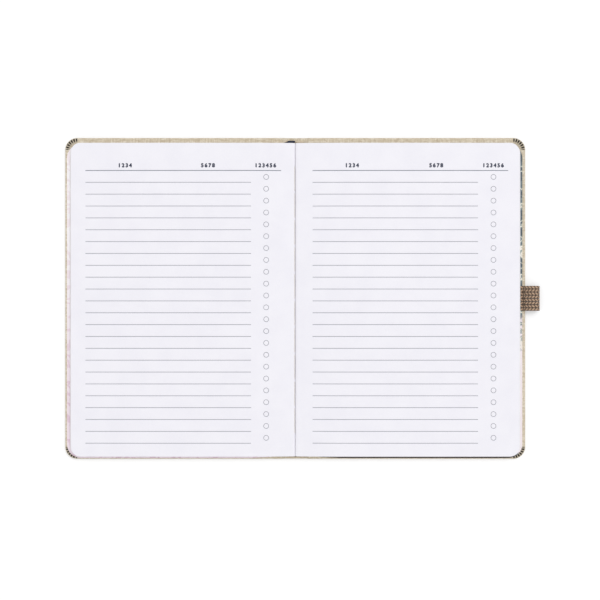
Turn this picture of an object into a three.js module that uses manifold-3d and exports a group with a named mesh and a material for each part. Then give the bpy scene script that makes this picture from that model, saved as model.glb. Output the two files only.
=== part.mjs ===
// A casebound planner lying open at its middle, with a sewn text block and an elastic pen loop.
// Millimetres. +X runs towards the back cover, +Y towards the head, +Z up from the table.
// The origin is on the table, under the gutter and half-way up the spine.
import * as THREE from 'three';
import Module from 'manifold-3d';
import { mergeVertices } from 'three/addons/utils/BufferGeometryUtils.js';

const wasm = await Module();
wasm.setup();

// Covers
const coverHeight = 216;
const coverReach = 154.8; // gutter to the fore-edge of a cover
const coverCornerRadius = 8;
const boardThickness = 2.2;
const clothThickness = 0.4;
const turnInWidth = 15;
const jointReach = 9.2; // gutter to the spine side of a cover
const glueGap = 0.1;

// Pleats of the cloth at each round corner
const pleatCount = 7;
const pleatWidth = 0.9;
const pleatHeight = 0.25;
const pleatLength = 1.6;

// Spine panel
const spineCardThickness = 1.4;
const spineCardInset = 0.8; // from the closed cover's face to the card's edge
const spineClothInset = 0.2;
const backClearance = 0.3; // spine panel to the back of the text block

// Text block, with its squares: the margins of cover that show round it
const squareHeadTail = 3.2;
const squareForeEdge = 3.5;
const blockDrop = 0.9; // the block is cased in this much nearer the tail
const foreEdgeSlant = 1.5; // the top leaf ends this much short of the bottom one
const pageCornerRadius = 6.3;
const leafThickness = 0.13;
const leavesPerSection = 10;
const sectionsPerSide = 3;
const centreLeaves = 4; // fixed leaves of the centre section on each side
const sectionGap = 0.06;
const foldGap = 0.08; // between the sections' folds and what wraps them
const closingGap = 0.1; // between each half and the plane where the halves meet

// Page surface: it sinks towards the gutter and a little towards the fore-edge
const creaseReach = 0.35;
const creaseRadius = 2;
const gutterDip = 1.2;
const gutterRamp = 32;
const foreEdgeDip = 0.3;
const foreEdgeRamp = 60;

// Endpapers and mull
const endpaperThickness = 0.15;
const endpaperFoldGap = 0.1;
const pastedownMargin = 2;
const pastedownCornerRadius = 6;
const mullThickness = 0.15;
const mullInset = 10; // shorter than the block at head and tail
const mullEdgeGap = 0.2;
const mullFoldRise = 0.6; // how far the mull stops short of the crease

// Head and tail bands
const bandThickness = 1.6;
const bandHeight = 1.8;
const bandInset = 0.4; // shorter than the closed block's back at each side
const bandGap = 0.3;

// Turning leaves
const leafHingeReach = 3; // gutter to the edge of the part that turns

// Ribbon marker
const ribbonWidth = 7;
const ribbonThickness = 0.2;
const ribbonClearance = 0.1;
const ribbonReach = 3.2; // gutter to the ribbon's near edge inside the block
const ribbonTailInset = 14;
const ribbonFlap = 3; // how far the ribbon shows past the head of the block
const ribbonFlapReach = 2.1;
const ribbonFlapWidth = 1.4;
const ribbonFlapDrop = 1.6;

// Sewing thread in the gutter
const threadRadius = 0.16;
const threadGap = 0.04;
const threadAngle = 35; // degrees up round the fold
const stitchPitch = 18;
const stitchCount = 11;
const stitchDip = 0.5;
const sewingHoleLength = 2.2;
const sewingHoleClearance = 0.12;

// Pen loop, an elastic band folded double and glued under the back endpaper
const loopWidth = 17;
const loopLength = 9.4; // past the cover's fore-edge
const loopHeight = 7;
const elasticThickness = 0.9;
const neckThickness = 1.6;
const loopFloorGap = 0.3;
const loopSeatGap = 0.1;
const loopCoverGap = 0.25;
const neckInset = 1.3; // from the cover's fore-edge to the loop's inner end
const neckSeam = 2; // sewn together before the opening starts
const neckSlit = 0.16; // how far the band gapes where the opening starts
const loopBelly = 3.8; // from the cover's fore-edge to the loop's highest place
const loopNoseBow = 4.6; // pull of the curve from the belly towards the nose
const loopNoseRound = 2.4; // pull of the curve along the nose
const loopNeckBow = 1.6; // pull of the curve out of the neck
const loopShoulderBow = 2.4; // pull of the curve into the crown
const loopHeelBow = 2.2; // pull of the curve along the floor towards the cover
const loopHeelRise = 0.3;
const loopHeelDrop = 0.9; // where the heel meets the straight rise beside the cover
const tabInnerGap = 1.1; // from the inner edge of the turned-in cloth to the tab
const tabEdgeGap = 0.9; // from the cover's fore-edge to the tab
const tabClearance = 0.2;

// Facets
const cornerSteps = 6;
const rampSteps = 6;
const rampBunching = 1.4; // draws the stations of the ramp towards the gutter
const foreEdgeShares = [0, 0.35, 0.6, 0.8]; // stations along the ramp at the fore-edge
const stationGap = 1; // least distance from a station to the ends of its row
const foldSteps = 4;
const creaseSteps = 6;
const curveSteps = 6;
const threadSides = 6;
const ribbonShares = [0, 0.25, 0.5, 0.75, 1];
const overcut = 1; // how far a cutting shape runs past what it cuts

// Heights above the table, from the covers up
const coverTop = boardThickness + 2 * clothThickness;
const flyleafBottom = coverTop + endpaperThickness + endpaperFoldGap;
const blockBase = flyleafBottom + endpaperThickness;
const sectionThickness = leafThickness * leavesPerSection;
const ribbonSlotBottom = blockBase + sectionsPerSide * (sectionThickness + sectionGap);
const centreBottom = ribbonSlotBottom + ribbonThickness + 2 * ribbonClearance;
const centreTop = centreBottom + centreLeaves * leafThickness;
const leafBottom = centreTop + sectionGap;
const blockTop = leafBottom + leafThickness;
const closingPlane = blockTop + closingGap;

// The back of the block, and the axis that each half swings about
const spineTop = spineCardThickness + 2 * clothThickness;
const backHeight = spineTop + backClearance;
const pivotReach = (closingPlane - backHeight) / 2;
const pivotHeight = (closingPlane + backHeight) / 2;
const swingRadius = pivotReach - closingGap;

// Outlines in plan
const pageHeight = coverHeight - 2 * squareHeadTail;
const pageHead = pageHeight / 2 - blockDrop;
const pageTail = -pageHeight / 2 - blockDrop;
const bottomReach = coverReach - squareForeEdge;
const topReach = bottomReach - foreEdgeSlant;

// Crease: the page surface turns down into the gutter round this arc
const creaseStart = creaseReach + creaseRadius;
const creaseCentreHeight = blockTop - gutterDip - creaseRadius;

function ease(t) {
  const u = Math.min(Math.max(t, 0), 1);
  return u * u * (3 - 2 * u);
}

function dip(reach) {
  const t = Math.min(Math.max((reach - creaseStart) / gutterRamp, 0), 1);
  const fore = foreEdgeDip * ease((reach - (topReach - foreEdgeRamp)) / foreEdgeRamp);
  return gutterDip * (1 - t) ** 2 + fore;
}

// Height of a layer of the block that lies at the given height where the block is thickest
function layerHeight(nominal, reach) {
  const share = (nominal - blockBase) / (blockTop - blockBase);
  return nominal - share * dip(reach);
}

function foreEdgeReach(nominal) {
  const share = (nominal - blockBase) / (blockTop - blockBase);
  return bottomReach - share * foreEdgeSlant;
}

function geometryOf(points, triangles) {
  const geometry = new THREE.BufferGeometry();
  geometry.setAttribute('position', new THREE.Float32BufferAttribute(points.flat(), 3));
  geometry.setIndex(volumeOf(points, triangles) < 0 ? triangles.map(([a, b, c]) => [a, c, b]).flat()
    : triangles.flat());
  geometry.computeVertexNormals();
  return geometry;
}

function volumeOf(points, triangles) {
  let sum = 0;
  for (const [a, b, c] of triangles) {
    const [p, q, r] = [points[a], points[b], points[c]];
    sum += p[0] * (q[1] * r[2] - q[2] * r[1]) + p[1] * (q[2] * r[0] - q[0] * r[2])
      + p[2] * (q[0] * r[1] - q[1] * r[0]);
  }
  return sum / 6;
}

// A closed solid between two surfaces, each given as rows of as many points
function slab(upperRows, lowerRows) {
  const rows = upperRows.length;
  const columns = upperRows[0].length;
  const points = [...upperRows.flat(), ...lowerRows.flat()];
  const upper = (i, j) => i * columns + j;
  const lower = (i, j) => (rows + i) * columns + j;
  const triangles = [];
  const quad = (a, b, c, d) => triangles.push([a, b, c], [a, c, d]);
  for (let i = 0; i < rows - 1; i += 1) {
    for (let j = 0; j < columns - 1; j += 1) {
      quad(upper(i, j), upper(i + 1, j), upper(i + 1, j + 1), upper(i, j + 1));
      quad(lower(i, j), lower(i, j + 1), lower(i + 1, j + 1), lower(i + 1, j));
    }
    quad(upper(i, 0), lower(i, 0), lower(i + 1, 0), upper(i + 1, 0));
    quad(upper(i, columns - 1), upper(i + 1, columns - 1), lower(i + 1, columns - 1), lower(i, columns - 1));
  }
  for (let j = 0; j < columns - 1; j += 1) {
    quad(upper(0, j), upper(0, j + 1), lower(0, j + 1), lower(0, j));
    quad(upper(rows - 1, j), lower(rows - 1, j), lower(rows - 1, j + 1), upper(rows - 1, j + 1));
  }
  return geometryOf(points, triangles);
}

// A slab whose rows run from head to tail; each station is [upper reach, upper height, lower reach,
// lower height, half of the row's length], and side is -1 for the front half, 1 for the back half
function headToTailSlab(side, stations, middle) {
  const upper = stations.map(([reach, height, , , half]) => [
    [side * reach, middle - half, height], [side * reach, middle + half, height]]);
  const lower = stations.map(([, , reach, height, half]) => [
    [side * reach, middle - half, height], [side * reach, middle + half, height]]);
  return slab(upper, lower);
}

// Steps round an outer corner: how far short of the fore-edge, and how long the row is there
function cornerRows(radius, halfLength) {
  return Array.from({ length: cornerSteps + 1 }, (_, i) => {
    const angle = (Math.PI / 2) * (i / cornerSteps);
    return { short: radius * (1 - Math.sin(angle)), half: halfLength - radius * (1 - Math.cos(angle)) };
  });
}

function plate(side, from, to, low, high, halfLength, radius, middle = 0) {
  const stations = [[from, high, from, low, halfLength]];
  for (const { short, half } of cornerRows(radius, halfLength)) {
    stations.push([to - short, high, to - short, low, half]);
  }
  return headToTailSlab(side, stations, middle);
}

function box(xFrom, xTo, yFrom, yTo, zFrom, zTo) {
  const geometry = new THREE.BoxGeometry(xTo - xFrom, yTo - yFrom, zTo - zFrom);
  return geometry.translate((xFrom + xTo) / 2, (yFrom + yTo) / 2, (zFrom + zTo) / 2);
}

// A box on the front or the back half, by its distances from the gutter
function halfBox(side, from, to, yFrom, yTo, zFrom, zTo) {
  return box(Math.min(side * from, side * to), Math.max(side * from, side * to), yFrom, yTo, zFrom, zTo);
}

function solid(geometry) {
  const bare = geometry.clone();
  bare.deleteAttribute('normal');
  if (bare.getAttribute('uv')) {
    bare.deleteAttribute('uv');
  }
  const merged = mergeVertices(bare, 1e-5);
  return new wasm.Manifold(new wasm.Mesh({
    numProp: 3,
    vertProperties: new Float32Array(merged.attributes.position.array),
    triVerts: new Uint32Array(merged.index.array),
  }));
}

function cut(base, ...tools) {
  return tools.reduce((rest, tool) => rest.subtract(solid(tool)), base);
}

function join(base, ...parts) {
  return parts.reduce((whole, part) => whole.add(solid(part)), base);
}

function geometryFrom(manifold) {
  const { vertProperties, triVerts } = manifold.getMesh();
  const geometry = new THREE.BufferGeometry();
  geometry.setAttribute('position', new THREE.BufferAttribute(new Float32Array(vertProperties), 3));
  geometry.setIndex(new THREE.BufferAttribute(new Uint32Array(triVerts), 1));
  geometry.computeVertexNormals();
  return geometry;
}

// An outline in x and z, drawn out along y about the middle of the cover
function extrudeAlongY(shape, width) {
  const options = { depth: width, bevelEnabled: false, curveSegments: curveSteps };
  const geometry = new THREE.ExtrudeGeometry(shape, options);
  return geometry.rotateX(Math.PI / 2).translate(0, width / 2, 0);
}

// Stations of the page surface from the gutter to the corner's start
function surfaceReaches(from, to) {
  const ramp = Array.from({ length: rampSteps }, (_, i) => creaseStart
    + gutterRamp * ((i + 1) / rampSteps) ** rampBunching);
  const crest = topReach - foreEdgeRamp;
  const fore = foreEdgeShares.map((share) => crest + foreEdgeRamp * share);
  const fits = (reach) => reach > from + stationGap && reach < to - stationGap;
  return [from, ...[...ramp, ...fore].filter(fits)];
}

// Board of a cover, rebated under the turn-ins so that its inner face is flush with them
function boardGeometry(side) {
  const reach = coverReach - clothThickness;
  const half = coverHeight / 2 - clothThickness;
  const radius = coverCornerRadius - clothThickness;
  const rebate = clothThickness + boardThickness;
  const core = plate(side, jointReach, reach - glueGap, clothThickness, rebate, half - glueGap, radius);
  const inner = turnInWidth + glueGap;
  return geometryFrom(join(solid(core), halfBox(side, jointReach, coverReach - inner,
    inner - coverHeight / 2, coverHeight / 2 - inner, rebate, coverTop)));
}

// Low folds of the gathered cloth, fanned round an outer corner of the inside
function cornerPleats(side, end) {
  const centre = new THREE.Vector3(side * (coverReach - coverCornerRadius),
    end * (coverHeight / 2 - coverCornerRadius), coverTop);
  const section = new THREE.Shape([
    new THREE.Vector2(-pleatWidth / 2, -clothThickness / 2),
    new THREE.Vector2(pleatWidth / 2, -clothThickness / 2),
    new THREE.Vector2(0, pleatHeight),
  ]);
  return Array.from({ length: pleatCount }, (_, i) => {
    const turn = (Math.PI / 2) * ((i + 0.5) / pleatCount);
    const outwards = new THREE.Vector3(side * Math.cos(turn), end * Math.sin(turn), 0);
    const across = new THREE.Vector3(0, 0, 1).cross(outwards);
    const geometry = new THREE.ExtrudeGeometry(section, { depth: pleatLength, bevelEnabled: false });
    const frame = new THREE.Matrix4().makeBasis(across, new THREE.Vector3(0, 0, 1), outwards);
    const start = outwards.clone().multiplyScalar(coverCornerRadius - glueGap - pleatLength).add(centre);
    return geometry.applyMatrix4(frame.setPosition(start));
  });
}

// Covering cloth of a cover: wrapped under the board and turned in on three edges
function clothGeometry(side) {
  const half = coverHeight / 2;
  const inset = clothThickness;
  const past = jointReach - overcut;
  const outer = solid(plate(side, jointReach, coverReach, 0, coverTop, half, coverCornerRadius));
  const pocket = plate(side, past, coverReach - inset, inset, inset + boardThickness, half - inset,
    coverCornerRadius - inset);
  const window = halfBox(side, past, coverReach - turnInWidth, turnInWidth - half, half - turnInWidth,
    inset + boardThickness / 2, coverTop + overcut);
  let cloth = cut(outer, pocket, window);
  cloth = join(cloth, ...cornerPleats(side, 1), ...cornerPleats(side, -1));
  if (side > 0) {
    const slot = loopWidth / 2 + tabClearance;
    cloth = cut(cloth, halfBox(side, coverReach - turnInWidth - overcut,
      coverReach - tabEdgeGap + tabClearance, -slot, slot, inset + boardThickness / 2, coverTop + overcut));
  }
  return geometryFrom(cloth);
}

// One folded sheet: pasted down on the board, folded at the joint, and free as the flyleaf
function endpaperGeometry(side) {
  const outerRadius = endpaperThickness + endpaperFoldGap / 2;
  const innerRadius = endpaperFoldGap / 2;
  const foldHeight = coverTop + outerRadius;
  const foldReach = pivotReach - Math.sqrt((swingRadius - mullThickness - foldGap - outerRadius) ** 2
    - (pivotHeight - foldHeight) ** 2);
  const half = pageHeight / 2;
  const stations = [];
  const down = coverReach - pastedownMargin;
  for (const { short, half: row } of cornerRows(pastedownCornerRadius, half).reverse()) {
    stations.push([down - short, coverTop, down - short, coverTop + endpaperThickness, row]);
  }
  for (let i = 0; i <= 2 * foldSteps; i += 1) {
    const angle = (Math.PI * i) / (2 * foldSteps);
    stations.push([
      foldReach - outerRadius * Math.sin(angle), foldHeight - outerRadius * Math.cos(angle),
      foldReach - innerRadius * Math.sin(angle), foldHeight - innerRadius * Math.cos(angle), half]);
  }
  for (const { short, half: row } of cornerRows(pageCornerRadius, half)) {
    stations.push([bottomReach - short, blockBase, bottomReach - short, flyleafBottom, row]);
  }
  return headToTailSlab(side, stations, -blockDrop);
}

// Gauze round the backs of the sections, from the crease to the edge of the board
function mullGeometry(side) {
  const outerRadius = swingRadius;
  const innerRadius = swingRadius - mullThickness;
  const half = pageHeight / 2 - mullInset;
  const start = creaseWallEnd() - foldGap - mullFoldRise;
  const from = Math.asin((pivotHeight - start) / outerRadius);
  const stations = [];
  for (let i = 0; i <= 2 * foldSteps; i += 1) {
    const angle = from + ((Math.PI / 2 - from) * i) / (2 * foldSteps);
    stations.push([
      pivotReach - outerRadius * Math.cos(angle), pivotHeight - outerRadius * Math.sin(angle),
      pivotReach - innerRadius * Math.cos(angle), pivotHeight - innerRadius * Math.sin(angle), half]);
  }
  const end = jointReach - mullEdgeGap;
  stations.push([end, pivotHeight - outerRadius, end, pivotHeight - innerRadius, half]);
  return headToTailSlab(side, stations, -blockDrop);
}

// Lower end of the crease's upright wall, where it would meet the swing circle
function creaseWallEnd() {
  return pivotHeight - Math.sqrt(swingRadius ** 2 - (pivotReach - creaseReach) ** 2) + foldGap;
}

function creaseThickness() {
  return blockTop - gutterDip - layerHeight(centreBottom, creaseStart);
}

// Where the round fold of a section may start: inside the mull and inside the centre section
function foldStart(low, high) {
  const lowEdge = layerHeight(low, creaseStart);
  const highEdge = layerHeight(high, creaseStart);
  const middle = (lowEdge + highEdge) / 2;
  const radius = (highEdge - lowEdge) / 2;
  const room = swingRadius - mullThickness - foldGap - radius;
  const mullLimit = pivotReach - Math.sqrt(Math.max(room ** 2 - (middle - pivotHeight) ** 2, 0));
  const arcRoom = creaseRadius - creaseThickness() - foldGap - radius;
  const rise = Math.max(middle - creaseCentreHeight, 0);
  const creaseLimit = creaseStart - Math.sqrt(Math.max(arcRoom ** 2 - rise ** 2, 0));
  return { middle, radius, reach: Math.max(mullLimit, creaseLimit) };
}

function layerStation(low, high, reach, half) {
  return [reach, layerHeight(high, reach), reach, layerHeight(low, reach), half];
}

// Rows round the two outer corners of a layer, its fore-edge slanting with the block's
function layerCorner(low, high) {
  return cornerRows(pageCornerRadius, pageHeight / 2).map(({ short, half }) => {
    const upper = foreEdgeReach(high) - short;
    const lower = foreEdgeReach(low) - short;
    return [upper, layerHeight(high, upper), lower, layerHeight(low, lower), half];
  });
}

// A sewn section: folded sheets with a round fold at the back
function sectionGeometry(side, index) {
  const low = blockBase + sectionGap + index * (sectionThickness + sectionGap);
  const high = low + sectionThickness;
  const half = pageHeight / 2;
  const { middle, radius, reach } = foldStart(low, high);
  const stations = [];
  for (let i = 0; i < foldSteps; i += 1) {
    const angle = (Math.PI / 2) * ((i + 0.5) / foldSteps);
    const at = reach - radius * Math.cos(angle);
    stations.push([at, middle + radius * Math.sin(angle), at, middle - radius * Math.sin(angle), half]);
  }
  const end = topReach - pageCornerRadius;
  stations.push(...surfaceReaches(Math.max(reach, creaseStart), end).map((at) =>
    layerStation(low, high, at, half)));
  return headToTailSlab(side, [...stations, ...layerCorner(low, high)], -blockDrop);
}

// Half of the centre section: its leaves bend down into the gutter, where they are sewn.
// The root of the top leaf belongs to it as far as the leaf's hinge.
function centreStations() {
  const half = pageHeight / 2;
  const thickness = creaseThickness();
  const wallEnd = creaseWallEnd();
  const stations = [[creaseReach, wallEnd, creaseReach + thickness, wallEnd, half]];
  for (let i = 0; i <= creaseSteps; i += 1) {
    const angle = (Math.PI / 2) * (i / creaseSteps);
    const inner = creaseRadius - thickness;
    stations.push([
      creaseStart - creaseRadius * Math.cos(angle), creaseCentreHeight + creaseRadius * Math.sin(angle),
      creaseStart - inner * Math.cos(angle), creaseCentreHeight + inner * Math.sin(angle), half]);
  }
  const step = leafHingeReach - sectionGap;
  stations.push(layerStation(centreBottom, blockTop, step - sectionGap, half));
  const end = topReach - pageCornerRadius;
  stations.push(...surfaceReaches(step, end).map((at) => layerStation(centreBottom, centreTop, at, half)));
  return [...stations, ...layerCorner(centreBottom, centreTop)];
}

function centreSectionGeometry(side) {
  const body = headToTailSlab(side, centreStations(), -blockDrop);
  return side > 0 ? body : geometryFrom(cut(solid(body), ...sewingHoles()));
}

// Places along the fold where the thread goes through it
function sewingHolePlaces() {
  return Array.from({ length: stitchCount }, (_, i) => (i - (stitchCount - 1) / 2) * stitchPitch - blockDrop);
}

// A point beside the fold, at the thread's angle, this far out from the page surface
function beside(distance) {
  const angle = THREE.MathUtils.degToRad(threadAngle);
  const radius = creaseRadius + distance;
  return {
    reach: creaseStart - radius * Math.cos(angle),
    height: creaseCentreHeight + radius * Math.sin(angle),
  };
}

// Short slots through the outer sheets of the fold
function sewingHoles() {
  const width = 2 * (threadRadius + sewingHoleClearance);
  const depth = stitchDip + threadRadius + sewingHoleClearance;
  const angle = THREE.MathUtils.degToRad(threadAngle);
  return sewingHolePlaces().map((y) => {
    const { reach, height } = beside((threadRadius + threadGap) / 2 - depth / 2);
    const slot = new THREE.BoxGeometry(depth + threadRadius + threadGap, sewingHoleLength, width);
    return slot.rotateY(-angle).translate(-reach, y, height);
  });
}

// The thread lies along the fold and dips into each hole
function threadGeometry() {
  const points = [];
  const places = sewingHolePlaces();
  const outside = beside(threadRadius + threadGap);
  const inside = beside(threadRadius + threadGap - stitchDip);
  const slope = sewingHoleLength / 2;
  places.forEach((y, i) => {
    if (i > 0) {
      points.push(new THREE.Vector3(-outside.reach, y - slope, outside.height));
    }
    points.push(new THREE.Vector3(-inside.reach, y, inside.height));
    if (i < places.length - 1) {
      points.push(new THREE.Vector3(-outside.reach, y + slope, outside.height));
    }
  });
  return cordAlongY(points, threadRadius, threadSides);
}

// A cord of even thickness that runs from tail to head through the given points
function cordAlongY(points, radius, sides) {
  const rings = points.map((point) => Array.from({ length: sides }, (_, i) => {
    const angle = (2 * Math.PI * i) / sides;
    return [point.x + radius * Math.cos(angle), point.y, point.z + radius * Math.sin(angle)];
  }));
  const triangles = [];
  for (let i = 0; i < rings.length - 1; i += 1) {
    for (let j = 0; j < sides; j += 1) {
      const [a, b] = [i * sides + j, i * sides + ((j + 1) % sides)];
      triangles.push([a, b, b + sides], [a, b + sides, a + sides]);
    }
  }
  const last = (rings.length - 1) * sides;
  for (let j = 1; j < sides - 1; j += 1) {
    triangles.push([0, j + 1, j], [last, last + j, last + j + 1]);
  }
  return geometryOf(rings.flat(), triangles);
}

// The part of the top leaf that turns
function leafGeometry(side) {
  const end = topReach - pageCornerRadius;
  const stations = surfaceReaches(leafHingeReach, end).map((at) =>
    layerStation(leafBottom, blockTop, at, pageHeight / 2));
  return headToTailSlab(side, [...stations, ...layerCorner(leafBottom, blockTop)], -blockDrop);
}

// Flat ribbon between the third and the centre section, its tip slanting to the head of the spine
function ribbonGeometry() {
  const low = ribbonSlotBottom + ribbonClearance;
  const inside = (y) => ribbonShares.map((share) => {
    const reach = ribbonReach + ribbonWidth * share;
    return { reach, y, height: layerHeight(low, reach) };
  });
  const tip = ribbonShares.map((share) => {
    const reach = ribbonFlapReach + ribbonFlapWidth * share;
    return { reach, y: pageHead + ribbonFlap, height: layerHeight(low, ribbonReach) - ribbonFlapDrop };
  });
  const rows = [inside(pageTail + ribbonTailInset), inside(pageHead), tip];
  const lift = (rise) => rows.map((row) => row.map(({ reach, y, height }) => [-reach, y, height + rise]));
  return slab(lift(ribbonThickness), lift(0));
}

function spineCardGeometry() {
  const x = closingPlane - spineCardInset;
  const y = coverHeight / 2 - clothThickness - glueGap;
  return box(-x, x, -y, y, clothThickness, clothThickness + spineCardThickness);
}

// Spine cloth: flat under the card and turned in over its two ends
function spineClothGeometry() {
  const y = coverHeight / 2;
  const inner = y - clothThickness;
  const turned = y - turnInWidth;
  const half = closingPlane - spineClothInset;
  const outline = new THREE.Shape([
    [-y, 0], [y, 0], [y, spineTop], [turned, spineTop], [turned, spineTop - clothThickness],
    [inner, spineTop - clothThickness], [inner, clothThickness], [-inner, clothThickness],
    [-inner, spineTop - clothThickness], [-turned, spineTop - clothThickness], [-turned, spineTop],
    [-y, spineTop],
  ].map(([a, b]) => new THREE.Vector2(a, b)));
  return extrudeAcross(outline, half);
}

// An outline in y and z, drawn out along x to the same distance on both sides of the gutter
function extrudeAcross(shape, half) {
  const options = { depth: 2 * half, bevelEnabled: false, curveSegments: curveSteps };
  const geometry = new THREE.ExtrudeGeometry(shape, options);
  const axes = new THREE.Matrix4().makeBasis(new THREE.Vector3(0, 1, 0), new THREE.Vector3(0, 0, 1),
    new THREE.Vector3(1, 0, 0));
  return geometry.applyMatrix4(axes).translate(-half, 0, 0);
}

// Worked band that stands on the spine just past the end of the block
function bandGeometry(end) {
  const near = end > 0 ? pageHead + bandGap : pageTail - bandGap;
  const far = near + end * bandThickness;
  const [low, high] = [Math.min(near, far), Math.max(near, far)];
  const radius = bandThickness / 2;
  const shape = new THREE.Shape();
  shape.moveTo(low, spineTop);
  shape.lineTo(high, spineTop);
  shape.lineTo(high, spineTop + bandHeight - radius);
  shape.absarc((low + high) / 2, spineTop + bandHeight - radius, radius, 0, Math.PI);
  return extrudeAcross(shape, 2 * pivotReach - bandInset);
}

// Side view of the loop: both ends of the elastic meet on the cover's edge and the band bellies out
function loopOutline(inset) {
  const inside = inset > 0;
  const inner = coverReach - neckInset + (inside ? neckSeam : 0);
  const nose = coverReach + loopLength - inset;
  const floor = loopFloorGap + inset;
  const crown = loopFloorGap + loopHeight - inset;
  const middle = (floor + crown) / 2;
  const belly = coverReach + loopBelly;
  const edge = coverReach + loopCoverGap + inset;
  const neckLow = coverTop + loopSeatGap + inset;
  const neckHigh = neckLow + (inside ? neckSlit : neckThickness);
  const heel = coverTop - loopHeelDrop + inset;
  const outline = new THREE.Shape();
  outline.moveTo(inner, neckLow);
  outline.lineTo(inner, neckHigh);
  outline.bezierCurveTo(inner + loopNeckBow, neckHigh, belly - loopShoulderBow, crown, belly, crown);
  outline.bezierCurveTo(belly + loopNoseBow, crown, nose, middle + loopNoseRound, nose, middle);
  outline.bezierCurveTo(nose, middle - loopNoseRound, belly + loopNoseBow, floor, belly, floor);
  outline.bezierCurveTo(belly - loopHeelBow, floor, edge, floor + loopHeelRise, edge, heel);
  outline.lineTo(edge, neckLow);
  outline.closePath();
  return outline;
}

function penLoopGeometry() {
  const outside = extrudeAlongY(loopOutline(0), loopWidth);
  return geometryFrom(cut(solid(outside), extrudeAlongY(loopOutline(elasticThickness), 2 * loopWidth)));
}

// The flattened ends of the elastic, set in the turn-in and covered by the pastedown
function loopTabGeometry() {
  const from = coverReach - turnInWidth + tabInnerGap;
  const to = coverReach - tabEdgeGap;
  return box(from, to, -loopWidth / 2, loopWidth / 2, coverTop - clothThickness, coverTop);
}

const clothLook = { color: 0xc9bfa5, roughness: 0.9, metalness: 0 };
const boardLook = { color: 0x8f877a, roughness: 0.95, metalness: 0 };
const paperLook = { color: 0xf2f0ee, roughness: 0.85, metalness: 0 };
const endpaperLook = { color: 0xc7b4c2, roughness: 0.8, metalness: 0 };
const mullLook = { color: 0xe6dfcd, roughness: 0.95, metalness: 0 };
const bandLook = { color: 0xf1eee6, roughness: 0.8, metalness: 0 };
const ribbonLook = { color: 0x1f2942, roughness: 0.45, metalness: 0 };
const threadLook = { color: 0xe9e5da, roughness: 0.7, metalness: 0 };
const elasticLook = { color: 0x857061, roughness: 0.85, metalness: 0 };

function mesh(name, geometry, look) {
  const piece = new THREE.Mesh(geometry, new THREE.MeshStandardMaterial(look));
  piece.name = name;
  return piece;
}

function spine() {
  const group = new THREE.Group();
  group.add(mesh('spine_card', spineCardGeometry(), boardLook));
  group.add(mesh('spine_cloth', spineClothGeometry(), clothLook));
  group.add(mesh('head_band', bandGeometry(1), bandLook));
  group.add(mesh('tail_band', bandGeometry(-1), bandLook));
  return group;
}

// A cover with its half of the text block
function half(side, cover, page) {
  const group = new THREE.Group();
  group.add(mesh(`${cover}_board`, boardGeometry(side), boardLook));
  group.add(mesh(`${cover}_cloth`, clothGeometry(side), clothLook));
  group.add(mesh(`${cover}_mull`, mullGeometry(side), mullLook));
  group.add(mesh(`${cover}_endpaper`, endpaperGeometry(side), endpaperLook));
  for (let i = 0; i < sectionsPerSide; i += 1) {
    group.add(mesh(`${page}_section_${i + 1}`, sectionGeometry(side, i), paperLook));
  }
  group.add(mesh(`${page}_centre_section`, centreSectionGeometry(side), paperLook));
  group.add(mesh(`${page}_leaf`, leafGeometry(side), paperLook));
  return group;
}

const planner = new THREE.Group();
const front = half(-1, 'front', 'left');
front.add(mesh('sewing_thread', threadGeometry(), threadLook));
front.add(mesh('ribbon_marker', ribbonGeometry(), ribbonLook));
const back = half(1, 'back', 'right');
back.add(mesh('pen_loop_tab', loopTabGeometry(), elasticLook));
back.add(mesh('pen_loop', penLoopGeometry(), elasticLook));
planner.add(spine(), front, back);

export default planner;
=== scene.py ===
import math

import bmesh
import bpy
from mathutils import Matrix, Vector


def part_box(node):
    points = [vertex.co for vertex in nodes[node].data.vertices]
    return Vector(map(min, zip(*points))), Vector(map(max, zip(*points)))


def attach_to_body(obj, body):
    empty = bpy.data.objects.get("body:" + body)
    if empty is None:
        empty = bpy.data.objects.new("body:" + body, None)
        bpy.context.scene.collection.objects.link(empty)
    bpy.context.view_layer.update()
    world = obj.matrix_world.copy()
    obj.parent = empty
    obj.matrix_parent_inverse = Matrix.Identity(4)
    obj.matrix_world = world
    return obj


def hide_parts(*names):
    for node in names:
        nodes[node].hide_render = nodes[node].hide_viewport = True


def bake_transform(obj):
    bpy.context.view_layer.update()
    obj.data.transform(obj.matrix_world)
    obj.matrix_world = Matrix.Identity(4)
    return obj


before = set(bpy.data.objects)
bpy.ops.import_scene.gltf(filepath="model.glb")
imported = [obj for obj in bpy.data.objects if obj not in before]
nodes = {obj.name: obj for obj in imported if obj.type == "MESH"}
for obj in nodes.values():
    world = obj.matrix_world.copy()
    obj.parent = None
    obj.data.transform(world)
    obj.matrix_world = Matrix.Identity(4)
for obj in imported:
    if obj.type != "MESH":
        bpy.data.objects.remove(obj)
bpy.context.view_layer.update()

mm = 0.001  # the sizes below are in mm, unless a note gives another unit
halfTurn = math.pi


# Node helpers


def socketOf(sockets, name=None):
    # By its place, or by its name among the sockets that the node's settings leave open
    if isinstance(name, int):
        return sockets[name]
    return next(s for s in sockets if s.enabled and name in (None, s.name))


def setInputs(tree, node, inputs):
    # An input takes a value, a socket, a node, which stands for its first open output, or a list of these
    for name, given in inputs.items():
        for item in given if isinstance(given, list) else [given]:
            value = socketOf(item.outputs) if isinstance(item, bpy.types.Node) else item
            if isinstance(value, bpy.types.NodeSocket):
                tree.links.new(value, socketOf(node.inputs, name))
            else:
                socketOf(node.inputs, name).default_value = value
    return node


def addNode(tree, kind, settings=None, inputs=None):
    node = tree.nodes.new(kind)
    for name, value in (settings or {}).items():
        setattr(node, name, value)
    return setInputs(tree, node, inputs or {})


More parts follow.
